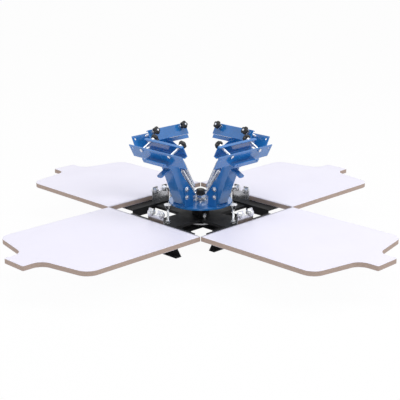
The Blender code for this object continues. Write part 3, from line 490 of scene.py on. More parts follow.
def make_finishes(colours):
    """Every finish of the press, from the user's colours."""
    make_grain_group()
    make_scratch_group()
    make_fibre_group()
    blue, black, zinc, steel = (tuple(c) for c in (colours.blue, colours.black, colours.zinc, colours.steel))
    laminate, board, plastic = (tuple(c) for c in (colours.laminate, colours.board, colours.plastic))
    finish("blue", shade(blue, 0.94), shade(blue, 1.10), rough=0.20, span=0.08, fine=620.0, broad=26.0,
           bump=0.10, scratch=0.10, scratch_colour=shade(blue, 1.6, 0.03), coat=0.8)
    # The edge finish is lighter than the coat: a painted highlight along the rounded edges, with its
    # scratches as wear.
    finish("blue_highlit_edge", shade(blue, 1.25, 0.010), shade(blue, 1.6, 0.02), rough=0.26, span=0.10, fine=700.0,
           broad=60.0, bump=0.10, scratch=0.15, scratch_colour=(0.30, 0.36, 0.46), coat=0.4)
    finish("weld", shade(blue, 0.85), shade(blue, 1.15), rough=0.28, span=0.10, fine=1400.0, broad=200.0,
           bump=0.3, coat=0.4)
    finish("black", shade(black, 0.9), shade(black, 1.3, 0.001), rough=0.50, span=0.12, fine=1100.0,
           broad=30.0, bump=0.22, scratch=0.05, scratch_colour=(0.05, 0.05, 0.055), specular=0.22)
    # The edge finish is lighter than the black: a painted highlight along the rounded edges, with its
    # scratches as wear.
    finish("black_highlit_edge", shade(black, 1.6, 0.004), shade(black, 2.2, 0.006), rough=0.44, span=0.12,
           fine=900.0, broad=60.0, bump=0.2, scratch=0.08, scratch_colour=(0.10, 0.10, 0.105), specular=0.4)
    finish("laminate", laminate, shade(laminate, 0.985), rough=0.30, span=0.06, fine=500.0, broad=7.0,
           bump=0.035, scratch=0.03, scratch_colour=(0.62, 0.61, 0.66))
    finish("board", board, shade(board, 0.72), rough=0.72, span=0.1, fine=300.0, bump=0.5,
           grain_name="Board fibres")
    finish("zinc", shade(zinc, 0.96), shade(zinc, 1.05), rough=0.14, span=0.12, fine=1500.0, broad=160.0,
           bump=0.06, metallic=1.0, scratch=0.2, scratch_colour=(0.55, 0.56, 0.58))
    finish("bearing", shade(zinc, 0.98), shade(zinc, 1.06), rough=0.09, span=0.08, fine=900.0, broad=200.0,
           bump=0.03, metallic=1.0, scratch=0.1, scratch_colour=(0.6, 0.6, 0.62))
    finish("spring", shade(zinc, 0.84), shade(zinc, 0.96), rough=0.20, span=0.12, fine=1800.0, broad=240.0,
           bump=0.05, metallic=1.0)
    finish("steel", shade(steel, 0.9), shade(steel, 1.1), rough=0.30, span=0.14, fine=1300.0, broad=90.0,
           bump=0.12, metallic=1.0, scratch=0.25, scratch_colour=(0.62, 0.62, 0.64))
    # The edge finish is lighter than the steel: a painted highlight along the rounded edges.
    finish("steel_highlit_edge", shade(steel, 1.2), shade(steel, 1.4), rough=0.24, span=0.1, fine=1300.0, broad=90.0,
           bump=0.1, metallic=1.0)
    finish("plastic", plastic, shade(plastic, 1.6, 0.002), rough=0.42, span=0.14, fine=1700.0, broad=120.0,
           bump=0.18, scratch=0.08, scratch_colour=(0.05, 0.05, 0.055), specular=0.4)


# fasteners

WASHER_SHARE, WASHER_BORE = 0.22, 0.2
TWIST = {"roller_bolt": 0.2, "roller_nut": 0.5, "pallet_screw": 0.3, "hub_bolt": 0.4, "post": 0.26,
         "ear_bolt": 0.2, "ear_nut": 0.1, "tension_bolt": 0.3, "pivot_nut": 0.2}
BASE_BOLT = {"across": 0.0104, "seat": 0.0808, "height": 0.0036}
ROLLER_BOLT = {"across": 0.0112, "seat": 0.2198, "height": 0.0046, "washer_r": 0.0080}
ROLLER_NUT = {"across": 0.0170, "seat": -0.2081, "height": 0.0092, "washer_r": 0.0104}
PALLET_SCREW = {"across": 0.0110, "seat": -0.1050, "height": 0.0046, "washer_r": 0.0080}
HUB_BOLT = {"across": 0.0104, "seat": 0.1562, "height": 0.0040, "washer_r": 0.0072}
EAR_BOLT = {"across": 0.0104, "seat": 0.1592, "height": 0.0042, "washer_r": 0.0068}
EAR_NUT = {"across": 0.0112, "seat": -0.1497, "height": 0.0046}
TENSION_BOLT = {"across": 0.0140, "seat": 0.0284, "height": 0.0054, "washer_r": 0.0086}
PIVOT_NUT = {"across": 0.0130, "seat": 0.0288, "height": 0.0049, "washer_r": 0.0080}


def washer(r_in, r_out, low, high):
    """A flat washer with its outer rims cut off: a ring whose profile has six corners."""
    e = (high - low) * 0.25
    return revolve([(r_in, low), (r_in, high), (r_out - e, high), (r_out, high - e), (r_out, low + e),
                    (r_out - e, low)], 48)


def hex_head(across, seat, height, washer_r=0.0):
    """Shells of a hex head over a seat, with a washer under it if asked."""
    shells = []
    low = seat
    if washer_r:
        low = seat + height * WASHER_SHARE
        shells.append((washer(across * WASHER_BORE, washer_r, seat, low), "ring", 0))
    shells.append((hexagon(across, low, seat + height), "solid", 0))
    return shells


def at(shells, spot, axis=(0, 0, 1), twist=0.0, k=0):
    """Shells carried to a spot of station 1 and turned to station k + 1."""
    return [(turned_to(placed(rows, spot, axis, twist), k), kind, number) for rows, kind, number in shells]


def on_arm(shells, spot, k=0):
    """Shells carried to a spot of the lowered arm, tilted up with it and turned to station k + 1."""
    return [(turned_to(raised(placed(rows, spot)), k), kind, number) for rows, kind, number in shells]


def near_axis(centres, spots, radius, low, high):
    """Which face centres lie within a radius of any upright axis through the spots, between two heights."""
    found = np.zeros(len(centres), bool)
    for x, y in spots:
        off = np.hypot(centres[:, 0] - x, centres[:, 1] - y)
        found |= (off < radius) & (centres[:, 2] > low) & (centres[:, 2] < high)
    return found


def at_stations(r):
    """The spots at a radius on the four stations' middle lines."""
    return [tuple(turned_to(np.array([r, 0.0, 0.0]), k)[:2]) for k in range(STATIONS)]


def diagonal(radius):
    """Four spots on the diagonals between the stations."""
    d = radius / math.sqrt(2)
    return [(sx * d, sy * d) for sx in (-1, 1) for sy in (-1, 1)]


# pallets

PALLET_HALF, NECK_HALF, SHOULDER_SLOPE = 0.225, 0.048, 0.20
INNER_R, SHOULDER_R, TIP_R = 0.2256, 0.679, 0.780
INNER_ROUND, SHOULDER_ROUND, NECK_ROUND, TIP_ROUND = 0.002, 0.045, 0.040, 0.005
BOARD_THICK, BOARD_EASE, BOARD_RIM = 0.0165, 0.0006, 0.0045
ARC_STEPS, BOARD_SHARP = 20, 40.0


def corner(here, before, after, radius):
    """The arc m + s cos a + s' sin a that rounds the corner at a point between its two neighbours.

    Its middle m lies on the half angle line, s runs to its start, and s' is s turned by a quarter.
    """
    before, after = before - here, after - here
    before, after = before / np.linalg.norm(before), after / np.linalg.norm(after)
    half_angle = math.acos(float(np.clip(before @ after, -1, 1))) / 2
    middle = here + (before + after) / np.linalg.norm(before + after) * radius / math.sin(half_angle)
    start = here + before * radius / math.tan(half_angle) - middle
    end = here + after * radius / math.tan(half_angle) - middle
    turn = math.atan2(start[0] * end[1] - start[1] * end[0], float(start @ end))
    a = np.linspace(0, turn, ARC_STEPS)[:, None]
    return middle + start * np.cos(a) + np.array([-start[1], start[0]]) * np.sin(a)


def outline_of_pallet():
    """The pallet's outline in order, with arcs at its inner corners, shoulders, necks and tongue."""
    neck_r = SHOULDER_R + SHOULDER_SLOPE * (PALLET_HALF - NECK_HALF)
    side = [(INNER_R, PALLET_HALF, INNER_ROUND), (SHOULDER_R, PALLET_HALF, SHOULDER_ROUND),
            (neck_r, NECK_HALF, NECK_ROUND), (TIP_R, NECK_HALF, TIP_ROUND)]
    corners = [(r, -s, c) for r, s, c in side] + [(r, s, c) for r, s, c in reversed(side)]
    spots = np.array([c[:2] for c in corners])
    count = len(corners)
    return np.concatenate([corner(spots[i], spots[i - 1], spots[(i + 1) % count], corners[i][2])
                           for i in range(count)])


def make_pallets(sizes):
    """Four boards in three bands: the outline drawn in by d and lifted to z along a profile of (d, z).

    The bands above and below the core are the laminate, with their rims eased.
    """
    line = outline_of_pallet()
    step = np.roll(line, -1, 0) - np.roll(line, 1, 0)
    inward = np.stack([-step[:, 1], step[:, 0]], 1) / np.linalg.norm(step, axis=1, keepdims=True)
    top, low, skin, ease = PALLET_TOP, PALLET_TOP - BOARD_THICK, sizes.laminate, BOARD_EASE
    part = ease * 0.3
    core = [(0.0, low + skin), (0.0, top - skin)]
    above = [(0.0, top - skin), (0.0, top - ease), (part, top - part), (ease, top), (BOARD_RIM, top)]
    below = [(BOARD_RIM, low), (ease, low), (part, low + part), (0.0, low + ease), (0.0, low + skin)]
    bands = []
    for profile, kind, number in ((core, "open", 1), (above, "lid", 0), (below, "foot", 0)):
        rows = [np.column_stack([line + inward * d, np.full(len(line), z)]) for d, z in profile]
        bands.append((np.stack(rows), kind, number))
    for k in range(STATIONS):
        shells = [(turned_to(rows, k), kind, number) for rows, kind, number in bands]
        piece(f"pallet_{k + 1}_board", shells, "pallet_carousel", ("laminate", "board"), (f"pallet_{k + 1}",),
              BOARD_SHARP)


# base and post

POST_BORE, BASE_BOLT_R = 0.0129, 0.031
RACE_EASE, CAGE_IN, CAGE_SUNK, CAGE_LAP = 0.0004, 0.001, 0.0016, 0.0001
CAP_BORE, CAP_ROUND, CAP_ROOF, CAP_STEP = 0.0128, 0.0055, 0.0030, 0.0006


def bearing_shells(z0, z1, r):
    """Two races with eased rims and the sunk cage between them, each a profile turned round the axis."""
    third, ease, bore = (z1 - z0) / 3, RACE_EASE, POST_BORE
    mid_low, mid_high = z0 + third, z1 - third
    lower = [(bore, z0), (bore, mid_low), (r - ease, mid_low), (r, z0 + third * 0.8), (r, z0 + ease),
             (r - ease, z0)]
    upper = [(bore, mid_high), (bore, z1), (r - ease, z1), (r, z1 - ease), (r, z1 - third * 0.8),
             (r - ease, mid_high)]
    cage = [(bore + CAGE_IN, mid_low - CAGE_LAP), (bore + CAGE_IN, mid_high + CAGE_LAP),
            (r - CAGE_SUNK, mid_high + CAGE_LAP), (r - CAGE_SUNK, mid_low - CAGE_LAP)]
    return [(revolve(lower, 72), "ring", 0), (revolve(upper, 72), "ring", 0), (revolve(cage, 48), "ring", 1)]


def make_base():
    """The folded straps with rounded edges, the post, the index plate, the bearings and the base bolts."""
    for name in ("base_strap_long", "base_strap_short"):
        softened(name, ("black", "black_highlit_edge"))
    softened("king_post", ("steel", "steel_highlit_edge"), width=TURNED_EDGE)
    softened("index_plate", ("steel", "steel_highlit_edge"), width=PLATE_EDGE)
    for name in ("thrust_bearing_lower", "thrust_bearing_upper"):
        low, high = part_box(name)
        piece(name + "_races", bearing_shells(low.z, high.z, high.x), "base", ("bearing", "steel"), (name,))
    heads = []
    for x, y in diagonal(BASE_BOLT_R):
        heads += at(hex_head(**BASE_BOLT), (x, y, 0.0))
    piece("base_bolt_heads", heads, "base", ("zinc",))


def make_post_top():
    """The chamfered top nut and the domed cap: a profile with a quarter circle, turned round the axis."""
    low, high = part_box("post_nut")
    across = (high.x - low.x) * math.sqrt(3) / 2
    piece("post_nut_hex", [(hexagon(across, low.z, high.z, POST_BORE, (True, True)), "ring", 0)], "base",
          ("zinc",), ("post_nut",))
    low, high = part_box("post_cap")
    r, z0, z1 = high.x, low.z, high.z
    wall, crown, roof = r - CAP_STEP, z1 - CAP_ROUND, z1 - CAP_ROOF
    dome = [(r - CAP_ROUND + CAP_ROUND * math.cos(t), crown + CAP_ROUND * math.sin(t))
            for t in np.linspace(0, np.pi / 2, 12)]
    skirt = [(0.0, roof), (CAP_BORE, roof), (CAP_BORE, z0), (0.0130, z0), (r - 0.0004, z0), (r, z0 + 0.0005),
             (r, z0 + 0.0028), (wall, z0 + 0.0034), (wall, crown - 0.0004)]
    profile = skirt + dome + [(0.0, z1)]
    piece("post_cap_domed", [(revolve(profile, 64), "ring", 0)], "base", ("plastic",), ("post_cap",))


# pallet carousel

SCREW_RS, SCREW_END_R = (0.255, 0.380), 0.0065
WEB_LOW, WEB_TOP, UPRIGHT_LOW = 0.1046, 0.1082, 0.118
ROLLER_SPOT, ROLLER_SIDE = (0.216, 0.151), 0.0228
ROLLER_R, ROLLER_HALF, ROLLER_BORE, ROLLER_SHARP = 0.011, 0.0035, 0.0043, 25.0
SHIELD_RS, SHIELD_SUNK = (0.0063, 0.0065, 0.0088, 0.0090), 0.0007
STOP_R, STOP_HEAD, STOP_RIM, STOP_NUT = 0.156, 0.017, 0.0130, 0.0146
STOP_FLUTES, STOP_KNURL, STOP_THREAD = 36, 0.018, (0.0040, 0.0034)
PIN_SPOT, PIN_HEAD, PIN_SHANK = (0.036, 0.056, 0.0), 0.0125, 0.0038
PIN_FLUTES, PIN_KNURL = 24, 0.025


def make_cross():
    """The channel cross and the brackets with rounded edges; screw heads, uprights and bolts are plated."""
    spots = at_stations(SCREW_RS[0]) + at_stations(SCREW_RS[1])
    softened("pallet_cross", ("black", "black_highlit_edge", "zinc"),
             lambda c: 2 * near_axis(c, spots, SCREW_END_R, 0.0, WEB_LOW))
    for k in range(STATIONS):
        softened(f"pallet_bracket_{k + 1}", ("black", "black_highlit_edge", "zinc"),
                 lambda c: 2 * (c[:, 2] > UPRIGHT_LOW))
    for k in range(STATIONS):
        shells = []
        for side in (-1, 1):
            spot = (0.0, side * ROLLER_SIDE, ROLLER_SPOT[1])
            shells += at(hex_head(**ROLLER_BOLT), spot, (1, 0, 0), TWIST["roller_bolt"] * side, k)
            shells += at(hex_head(**ROLLER_NUT), spot, (-1, 0, 0), TWIST["roller_nut"] * side, k)
        for r in SCREW_RS:
            shells += at(hex_head(**PALLET_SCREW), (r, 0, 0), (0, 0, -1), TWIST["pallet_screw"], k)
        piece(f"bracket_bolts_{k + 1}", shells, "pallet_carousel", ("zinc",))


def make_rollers():
    """Eight sealed ball bearings: outer race, sunk shield and inner race as one turned profile."""
    r, w, bore, c, shield = ROLLER_R, ROLLER_HALF, ROLLER_BORE, 0.0005, ROLLER_HALF - SHIELD_SUNK
    r1, r2, r3, r4 = SHIELD_RS
    half = [(bore, w - c), (bore + c, w), (r1, w), (r2, shield), (r3, shield), (r4, w), (r - c, w),
            (r, w - c)]
    profile = [(bore, c - w)] + half + [(x, -h) for x, h in half[:0:-1]]
    for k in range(STATIONS):
        for side, letter in ((-1, "a"), (1, "b")):
            spot = (ROLLER_SPOT[0], side * ROLLER_SIDE, ROLLER_SPOT[1])
            name = f"roller_{k + 1}{letter}"
            piece(name + "_bearing", at([(revolve(profile, 64), "ring", 0)], spot, (1, 0, 0), 0.0, k), name,
                  ("bearing",), (name,), ROLLER_SHARP)


def knurl(first, last, depth, flutes):
    """A swell of 1 - depth (1 + cos(flutes a)) on the rows from first to last, and 1 on the others."""
    def swell(row, a):
        return np.where((row >= first) & (row <= last), 1 - depth * (1 + np.cos(flutes * a)), 1.0)
    return swell


def make_stops(sizes):
    """Four stop bolts: a threaded shank, chamfered nuts and a flared head whose rim is knurled."""
    low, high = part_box("stop_bolt_1")
    z0, z1 = low.z, high.z
    seat, foot, under = WEB_TOP, z0 + 0.0002, z1 - STOP_HEAD
    head = [(0.0, under), (0.0068, under), (0.0105, z1 - 0.0060), (0.0128, z1 - 0.0045),
            (STOP_RIM, z1 - 0.0040), (STOP_RIM, z1 - 0.0008), (0.0122, z1), (0.0, z1)]
    shells = [(thread(*STOP_THREAD, sizes.thread_pitch, seat + 0.0065, under + 0.0004), "solid", 0),
              (thread(*STOP_THREAD, sizes.thread_pitch, foot, seat + 0.0010), "solid", 0),
              (hexagon(STOP_NUT, seat + 0.0014, seat + 0.0070, ends=(True, True)), "solid", 0),
              (washer(0.0036, 0.0085, seat, seat + 0.0013), "ring", 0),
              (hexagon(STOP_NUT, foot, WEB_LOW - 0.0003, ends=(True, False)), "solid", 0),
              (revolve(head, 144, knurl(2, 5, STOP_KNURL, STOP_FLUTES)), "solid", 0)]
    for k in range(STATIONS):
        piece(f"stop_bolt_{k + 1}_threaded", at(shells, (STOP_R, 0, 0), k=k), "pallet_carousel", ("zinc",),
              (f"stop_bolt_{k + 1}",))


def make_index_pin():
    """The index pin: a plain shank and a stepped knob with a knurled rim."""
    low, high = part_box("index_pin")
    z0, z1 = low.z, high.z
    top = z1 - PIN_HEAD
    profile = [(0.0, z0), (0.0031, z0), (PIN_SHANK, z0 + 0.0008), (PIN_SHANK, top), (0.0064, top + 0.0004),
               (0.0065, top + 0.0080), (0.0052, top + 0.0092), (0.0042, top + 0.0100), (0.0040, z1 - 0.0006),
               (0.0034, z1), (0.0, z1)]
    rows = revolve(profile, 96, knurl(4, 5, PIN_KNURL, PIN_FLUTES))
    piece("index_pin_knurled", at([(rows, "solid", 0)], PIN_SPOT), "index_pin", ("zinc",), ("index_pin",))


# head carousel

HUB_BOLT_R, POST_END_R, POST_ENDS = 0.034, 0.0085, (0.156, 0.21)
EAR_BOLT_SPOT, TENSION_RISE = (0.072, 0.012), 0.028
POST_HEX = (0.0136, 0.15625, 0.1635)
SHANK_R, SHANK_OVER = 0.0040, 0.001


def make_head():
    """The disc, its hub and the ears with rounded edges, and the chamfered bolt heads on them."""
    softened("head_disc", ("blue", "blue_highlit_edge"), width=DISC_EDGE, segments=3)
    posts = at_stations(POST_R)
    softened("head_hub", ("steel", "steel_highlit_edge", "zinc"),
             lambda c: 2 * near_axis(c, posts, POST_END_R, *POST_ENDS), width=TURNED_EDGE)
    heads = []
    for x, y in diagonal(HUB_BOLT_R):
        heads += at(hex_head(**HUB_BOLT), (x, y, 0), twist=TWIST["hub_bolt"])
    for k in range(STATIONS):
        heads += at([(hexagon(*POST_HEX), "solid", 0)], (POST_R, 0, 0), twist=TWIST["post"], k=k)
    piece("disc_bolt_heads", heads, "head_carousel", ("zinc",))
    for k in range(STATIONS):
        softened(f"arm_bracket_{k + 1}", ("blue", "blue_highlit_edge"), width=FOLD_EDGE, segments=3)
        shells = []
        for side in (-1, 1):
            ear = (EAR_BOLT_SPOT[0], side * EAR_BOLT_SPOT[1], 0)
            shells += at(hex_head(**EAR_BOLT), ear, twist=TWIST["ear_bolt"], k=k)
            shells += at(hex_head(**TENSION_BOLT), (PIVOT_R, 0, PIVOT_Z + TENSION_RISE), (0, side, 0),
                         TWIST["tension_bolt"] * side, k)
            shells += at(hex_head(**EAR_NUT), ear, (0, 0, -1), TWIST["ear_nut"], k)
        piece(f"ear_bolts_{k + 1}", shells, "head_carousel", ("zinc",))


def make_pivots():
    """Four pivot bolts: a plain shank through the ears, a hex head and a lock nut, each on a washer."""
    spot = (PIVOT_R, 0, PIVOT_Z)
    end = PIVOT_NUT["seat"] + SHANK_OVER
    shank = [(revolve([(0.0, -end), (SHANK_R, -end), (SHANK_R, end), (0.0, end)], 32), "solid", 0)]
    for k in range(STATIONS):
        shells = at(shank, spot, (0, 1, 0), 0.0, k)
        for side in (-1, 1):
            shells += at(hex_head(**PIVOT_NUT), spot, (0, side, 0), TWIST["pivot_nut"], k)
        piece(f"pivot_bolt_{k + 1}_hex", shells, "head_carousel", ("zinc",), (f"pivot_bolt_{k + 1}",))


# arms

STUD_END_R, STUD_LOW = 0.0046, -0.0207
STUD_THREAD, STUD_SPAN, STUD_NUT = (0.0041, 0.0036), (-0.0212, 0.0519), (0.0116, -0.0287, -0.0243)
# Each weld runs from (x0, s0) to (x1, s1) at a height z of the lowered arm: (x0, x1, s0, s1, z, width).
WELDS = ((0.1215, 0.1215, -0.0112, 0.0112, -0.0118, 0.0011),
         (0.1265, 0.1265, -0.0112, 0.0112, -0.0118, 0.0011),
         (0.1680, 0.1680, -0.0550, 0.0550, -0.0246, 0.0010),
         (0.1630, 0.1740, -0.0240, -0.0240, -0.0200, 0.0012),
         (0.1630, 0.1740, 0.0240, 0.0240, -0.0200, 0.0012))
LOBE_DEPTH, LOBE_POWER = 0.24, 1.6
LOBE_WEIGHTS = np.array([0, 0, 0, 0.3, 0.8, 1, 1, 1, 0.9, 0.7, 0.3, 0, 0, 0])
KNOB_BORE, KNOB_R, KNOB_SEAT, KNOB_SHARP = 0.0043, 0.0145, 0.0003, 38.0


def paint_studs(k):
    """A paint for arm k + 1 that finds the face centres on its studs, in the frame of the lowered arm."""
    c, s = math.cos(RAISE), math.sin(RAISE)
    pivot, out, side, up = (turned_to(np.array(v), k) for v in (
        (PIVOT_R, 0.0, PIVOT_Z), (c, 0.0, s), (0.0, 1.0, 0.0), (-s, 0.0, c)))

    def paint(centres):
        d = centres - pivot
        near = np.hypot(d @ out - STUD_X, np.abs(d @ side) - STUD_S) < STUD_END_R
        return 2 * (near & (d @ up > STUD_LOW))
    return paint


def make_arms(sizes):
    """The folded arms and jaws with rounded edges, the plated studs and the weld beads."""
    for k in range(STATIONS):
        softened(f"arm_{k + 1}", ("blue", "blue_highlit_edge", "zinc"), paint_studs(k), width=FOLD_EDGE, segments=3)
        softened(f"jaw_{k + 1}", ("blue", "blue_highlit_edge"), width=FOLD_EDGE, segments=3)
        shells = [(turned_to(raised(bead((x0, s0, z), (x1, s1, z), width)), k), "solid", 0)
                  for x0, x1, s0, s1, z, width in WELDS]
        piece(f"arm_{k + 1}_weld_beads", shells, f"arm_{k + 1}", ("weld",), sharp=SOFT)
        rod = [(thread(*STUD_THREAD, sizes.thread_pitch, *STUD_SPAN), "solid", 0),
               (hexagon(*STUD_NUT, ends=(True, False)), "solid", 0)]
        shells = on_arm(rod, (STUD_X, -STUD_S, 0.0), k) + on_arm(rod, (STUD_X, STUD_S, 0.0), k)
        piece(f"arm_{k + 1}_studs", shells, f"arm_{k + 1}", ("zinc",))


def make_knobs(sizes):
    """Star knobs on collars: a dished profile turned with a swell that fades out towards the hub.

    The swell is 1 - LOBE_DEPTH w ((1 - cos n a) / 2)^LOBE_POWER, with w the row's weight and n the lobes.
    """
    def star(row, a):
        lobe = ((1 - np.cos(sizes.knob_lobes * a)) / 2) ** LOBE_POWER
        return 1 - LOBE_DEPTH * LOBE_WEIGHTS[row] * lobe
    bore, z = KNOB_BORE, JAW_TOP + KNOB_SEAT
    z1, z2 = z + 0.0094, z + 0.0220
    profile = [(bore, z + 0.0090), (0.0075, z + 0.0091), (0.0082, z1), (0.0100, z1 + 0.0006),
               (0.0132, z1 + 0.0014), (0.0144, z1 + 0.0028), (KNOB_R, z1 + 0.0060), (0.0144, z2 - 0.0030),
               (0.0138, z2 - 0.0014), (0.0126, z2 - 0.0004), (0.0104, z2), (0.0084, z2 + 0.0004),
               (0.0078, z2 + 0.0028), (bore, z2 + 0.0030)]
    collar = [(bore, z), (0.0080, z), (0.0085, z + 0.0005), (0.0085, z + 0.0024), (0.0068, z + 0.0030),
              (0.0068, z + 0.0080), (0.0074, z + 0.0090), (bore, z + 0.0091)]
    shells = [(revolve(profile, 120, star), "ring", 0), (revolve(collar, 48), "ring", 1)]
    for k in range(STATIONS):
        for side, letter in ((-1, "a"), (1, "b")):
            name = f"knob_{k + 1}{letter}"
            piece(name + "_star", on_arm(shells, (STUD_X, side * STUD_S, 0.0), k), name, ("plastic", "zinc"),
                  (name,), KNOB_SHARP)


# springs

COIL_R, COIL_LEAD, COIL_STEPS, COIL_END = 0.0052, 0.0115, 18, 0.05
BALL_HOOK, LUG_HOOK = 0.0058, 0.0054
HOOK_FROM, HOOK_TO, HOOK_TAIL = -0.25 * np.pi, 1.68 * np.pi, 1.35


def spring_ends():
    """The post's ball and the raised arm's lug, in station 1's frame."""
    return np.array([POST_R, 0.0, BALL_Z]), raised(np.array([LUG[0], 0.0, LUG[1]]))


def spring_rows(sizes):
    """A close extension spring between the post's ball and the arm's lug, in station 1's frame.

    The coil is c + u t + R (cos a e + sin a f), whose radius R swells from a twentieth to the whole over
    the first turn and back over the last. Each end is a hook: a circle about the ball or the lug in the
    arm's middle plane, with a straight tail.
    """
    ball, lug = spring_ends()
    run = lug - ball
    length = np.linalg.norm(run)
    u, e = run / length, np.array([0.0, 1.0, 0.0])
    f = np.cross(u, e)
    t = np.linspace(0, 1, sizes.spring_turns * COIL_STEPS + 1)
    a = 2 * np.pi * sizes.spring_turns * t
    swell = np.clip(np.minimum(t, 1 - t) * sizes.spring_turns, COIL_END, 1.0)
    radial = np.cos(a)[:, None] * e + np.sin(a)[:, None] * f
    path = ball + u * (COIL_LEAD + (length - 2 * COIL_LEAD) * t)[:, None] + radial * (COIL_R * swell)[:, None]
    shells = [(tube(path, radial, sizes.spring_wire, 8), "solid", 0)]
    for centre, way, radius in ((ball, u, BALL_HOOK), (lug, -u, LUG_HOOK)):
        b = np.linspace(HOOK_FROM, HOOK_TO, 40)
        hook = centre + radius * (np.cos(b)[:, None] * way + np.sin(b)[:, None] * f)
        tail = centre + way * np.linspace(COIL_LEAD + 0.0010, radius * HOOK_TAIL, 8)[:, None]
        whole = np.concatenate([tail, hook[3:]])
        shells.append((tube(whole, np.broadcast_to(e, whole.shape), sizes.spring_wire, 8), "solid", 0))
    return shells


def make_springs(sizes):
    """Four extension springs between the head and their arm."""
    for k in range(STATIONS):
        shells = [(turned_to(rows, k), kind, number) for rows, kind, number in spring_rows(sizes)]
        obj = piece(f"spring_{k + 1}_coil", shells, f"arm_{k + 1}", ("spring",), (f"spring_{k + 1}",), SOFT)
        obj.parent = None
        del obj["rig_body"]
        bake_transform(obj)


# stage

FLOOR_SIZE, FLOOR_Z, FLOOR_GREY = 40.0, -0.0002, 0.90
# How brightly the floor and the world count for other rays and for the camera's own.
FLOOR_GLOW, WORLD_GLOW = (0.30, 0.96), (0.56, 1.0)
LAMPS = (("key", (-1.2, 2.6, 3.0), 1.6, 42.0), ("fill", (2.8, -0.6, 2.0), 1.8, 10.0),
         ("top", (0.2, 0.2, 3.4), 2.4, 40.0))
LAMP_AIM = (0, 0, 0.15)
CAMERA_SPOT, LENS, SHIFT = (2.2704, 2.2704, 1.1202), 86.67, (-0.0015, 0.01725)


def make_floor():
    """A pale floor that the camera sees brighter than the light it gives back."""
    bpy.ops.mesh.primitive_plane_add(size=FLOOR_SIZE, location=(0, 0, FLOOR_Z))
    floor = bpy.context.object
    floor.name = "floor"
    mat = bpy.data.materials.new("floor")
    mat.use_nodes = True
    tree = mat.node_tree
    tree.nodes.clear()
    ray = node(tree, "ShaderNodeLightPath").outputs["Is Camera Ray"]
    matte = node(tree, "ShaderNodeBsdfDiffuse", {"Color": (FLOOR_GREY, FLOOR_GREY, FLOOR_GREY, 1)})
    glow = node(tree, "ShaderNodeEmission", {"Color": (1, 1, 1, 1), "Strength": 1.0})
    seen = between(tree, ray, *FLOOR_GLOW)
    mixed = node(tree, "ShaderNodeMixShader", {0: seen, 1: matte.outputs[0], 2: glow.outputs[0]})
    node(tree, "ShaderNodeOutputMaterial", {"Surface": mixed.outputs[0]})
    floor.data.materials.append(mat)


def make_world():
    """A white world that lights less strongly than the camera and reflections see it."""
    world = bpy.data.worlds.new("studio")
    bpy.context.scene.world = world
    world.use_nodes = True
    tree = world.node_tree
    tree.nodes.clear()
    path = node(tree, "ShaderNodeLightPath").outputs
    direct = maths(tree, "MAXIMUM", path["Is Camera Ray"], path["Is Glossy Ray"])
    sky = node(tree, "ShaderNodeBackground", {"Color": (1, 1, 1, 1),
                                              "Strength": between(tree, direct, *WORLD_GLOW)})
    node(tree, "ShaderNodeOutputWorld", {"Surface": sky.outputs[0]})


def aimed(name, data, spot, target):
    """An object on a lamp's or camera's data that stands at a spot and looks at a target."""
    holder = bpy.data.objects.new(name, data)
    bpy.context.scene.collection.objects.link(holder)
    holder.location = spot
    holder.rotation_euler = (Vector(target) - Vector(spot)).to_track_quat("-Z", "Y").to_euler()
    return holder


def make_stage():
    """The floor, the world, three soft lamps and the camera of the photograph's viewing angle."""
    scene = bpy.context.scene
    scene.view_settings.view_transform = "Standard"
    make_floor()
    make_world()
    for name, spot, size, power in LAMPS:
        lamp = bpy.data.lights.new(name, "AREA")
        lamp.energy, lamp.size = power, size
        aimed(name, lamp, spot, LAMP_AIM)
    camera = bpy.data.cameras.new("camera")
    camera.lens, camera.sensor_width, camera.clip_end = LENS, 36.0, 60.0
    camera.shift_x, camera.shift_y = SHIFT
    scene.camera = aimed("camera", camera, CAMERA_SPOT, (0, 0, PALLET_TOP))


# the add-on

class PRESS_OT_stage(bpy.types.Operator):
    """Make the floor, the light and the camera."""
    bl_idname = "press.stage"
    bl_label = "Stage"

    def execute(self, context):
        make_stage()
        return {"FINISHED"}


class PRESS_OT_finishes(bpy.types.Operator):
    """Make every finish from the chosen colours."""
    bl_idname = "press.finishes"
    bl_label = "Finishes"

    def execute(self, context):
        make_finishes(context.scene.press_colours)
        return {"FINISHED"}


class PRESS_OT_pallets(bpy.types.Operator):
    """Make the four pallets."""
    bl_idname = "press.pallets"
    bl_label = "Pallets"

    def execute(self, context):
        make_pallets(context.scene.press_sizes)
        return {"FINISHED"}


class PRESS_OT_base(bpy.types.Operator):
    """Make the pedestal, the post and the bearings."""
    bl_idname = "press.base"
    bl_label = "Base"

    def execute(self, context):
        make_base()
        return {"FINISHED"}


class PRESS_OT_post_top(bpy.types.Operator):
    """Make the top nut and the cap."""
    bl_idname = "press.post_top"
    bl_label = "Post nut and cap"

    def execute(self, context):
        make_post_top()
        return {"FINISHED"}


class PRESS_OT_cross(bpy.types.Operator):
    """Make the cross and the pallet brackets."""
    bl_idname = "press.cross"
    bl_label = "Cross and brackets"

    def execute(self, context):
        make_cross()
        return {"FINISHED"}


class PRESS_OT_rollers(bpy.types.Operator):
    """Make the registration rollers."""
    bl_idname = "press.rollers"
    bl_label = "Rollers"

    def execute(self, context):
        make_rollers()
        return {"FINISHED"}


class PRESS_OT_stops(bpy.types.Operator):
    """Make the stop bolts."""
    bl_idname = "press.stops"
    bl_label = "Stop bolts"

    def execute(self, context):
        make_stops(context.scene.press_sizes)
        return {"FINISHED"}


class PRESS_OT_index_pin(bpy.types.Operator):
    """Make the index pin."""
    bl_idname = "press.index_pin"
    bl_label = "Index pin"

    def execute(self, context):
        make_index_pin()
        return {"FINISHED"}


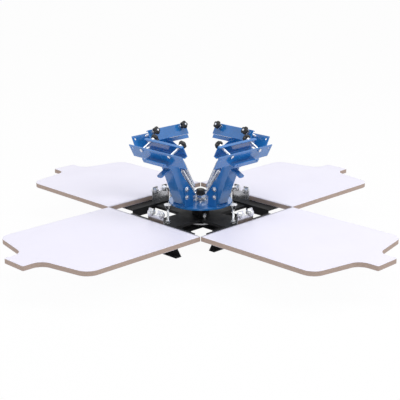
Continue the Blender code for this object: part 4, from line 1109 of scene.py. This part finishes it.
class PRESS_OT_head(bpy.types.Operator):
    """Make the disc, its hub and the pivot brackets."""
    bl_idname = "press.head"
    bl_label = "Head"

    def execute(self, context):
        make_head()
        return {"FINISHED"}


class PRESS_OT_pivots(bpy.types.Operator):
    """Make the pivot bolts."""
    bl_idname = "press.pivots"
    bl_label = "Pivot bolts"

    def execute(self, context):
        make_pivots()
        return {"FINISHED"}


class PRESS_OT_arms(bpy.types.Operator):
    """Make the arms, the jaws and the studs."""
    bl_idname = "press.arms"
    bl_label = "Arms"

    def execute(self, context):
        make_arms(context.scene.press_sizes)
        return {"FINISHED"}


class PRESS_OT_knobs(bpy.types.Operator):
    """Make the star knobs."""
    bl_idname = "press.knobs"
    bl_label = "Star knobs"

    def execute(self, context):
        make_knobs(context.scene.press_sizes)
        return {"FINISHED"}


class PRESS_OT_springs(bpy.types.Operator):
    """Make the extension springs."""
    bl_idname = "press.springs"
    bl_label = "Springs"

    def execute(self, context):
        make_springs(context.scene.press_sizes)
        return {"FINISHED"}


OPERATORS = (PRESS_OT_finishes, PRESS_OT_stage, PRESS_OT_pallets, PRESS_OT_base, PRESS_OT_post_top,
             PRESS_OT_cross, PRESS_OT_rollers, PRESS_OT_stops, PRESS_OT_index_pin, PRESS_OT_head,
             PRESS_OT_pivots, PRESS_OT_arms, PRESS_OT_knobs, PRESS_OT_springs)


class PRESS_PT_panel(bpy.types.Panel):
    """The sidebar panel that lists the settings and the pieces."""
    bl_label = "Screen printing press"
    bl_idname = "PRESS_PT_panel"
    bl_space_type = "VIEW_3D"
    bl_region_type = "UI"
    bl_category = "Press"

    def draw(self, context):
        for holder in (context.scene.press_sizes, context.scene.press_colours):
            for name in holder.bl_rna.properties.keys():
                if name not in ("rna_type", "name"):
                    self.layout.prop(holder, name)
        for operator in OPERATORS:
            self.layout.operator(operator.bl_idname)


CLASSES = (PressSizes, PressColours, *OPERATORS, PRESS_PT_panel)


def register():
    """Add the classes and the scene's settings."""
    for cls in CLASSES:
        bpy.utils.register_class(cls)
    bpy.types.Scene.press_sizes = bpy.props.PointerProperty(type=PressSizes)
    bpy.types.Scene.press_colours = bpy.props.PointerProperty(type=PressColours)


def unregister():
    """Remove the settings and the classes."""
    del bpy.types.Scene.press_colours
    del bpy.types.Scene.press_sizes
    for cls in reversed(CLASSES):
        bpy.utils.unregister_class(cls)


def main():
    """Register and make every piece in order."""
    register()
    for operator in OPERATORS:
        group_name, call = operator.bl_idname.split(".")
        getattr(getattr(bpy.ops, group_name), call)()


if __name__ == "__main__":
    main()
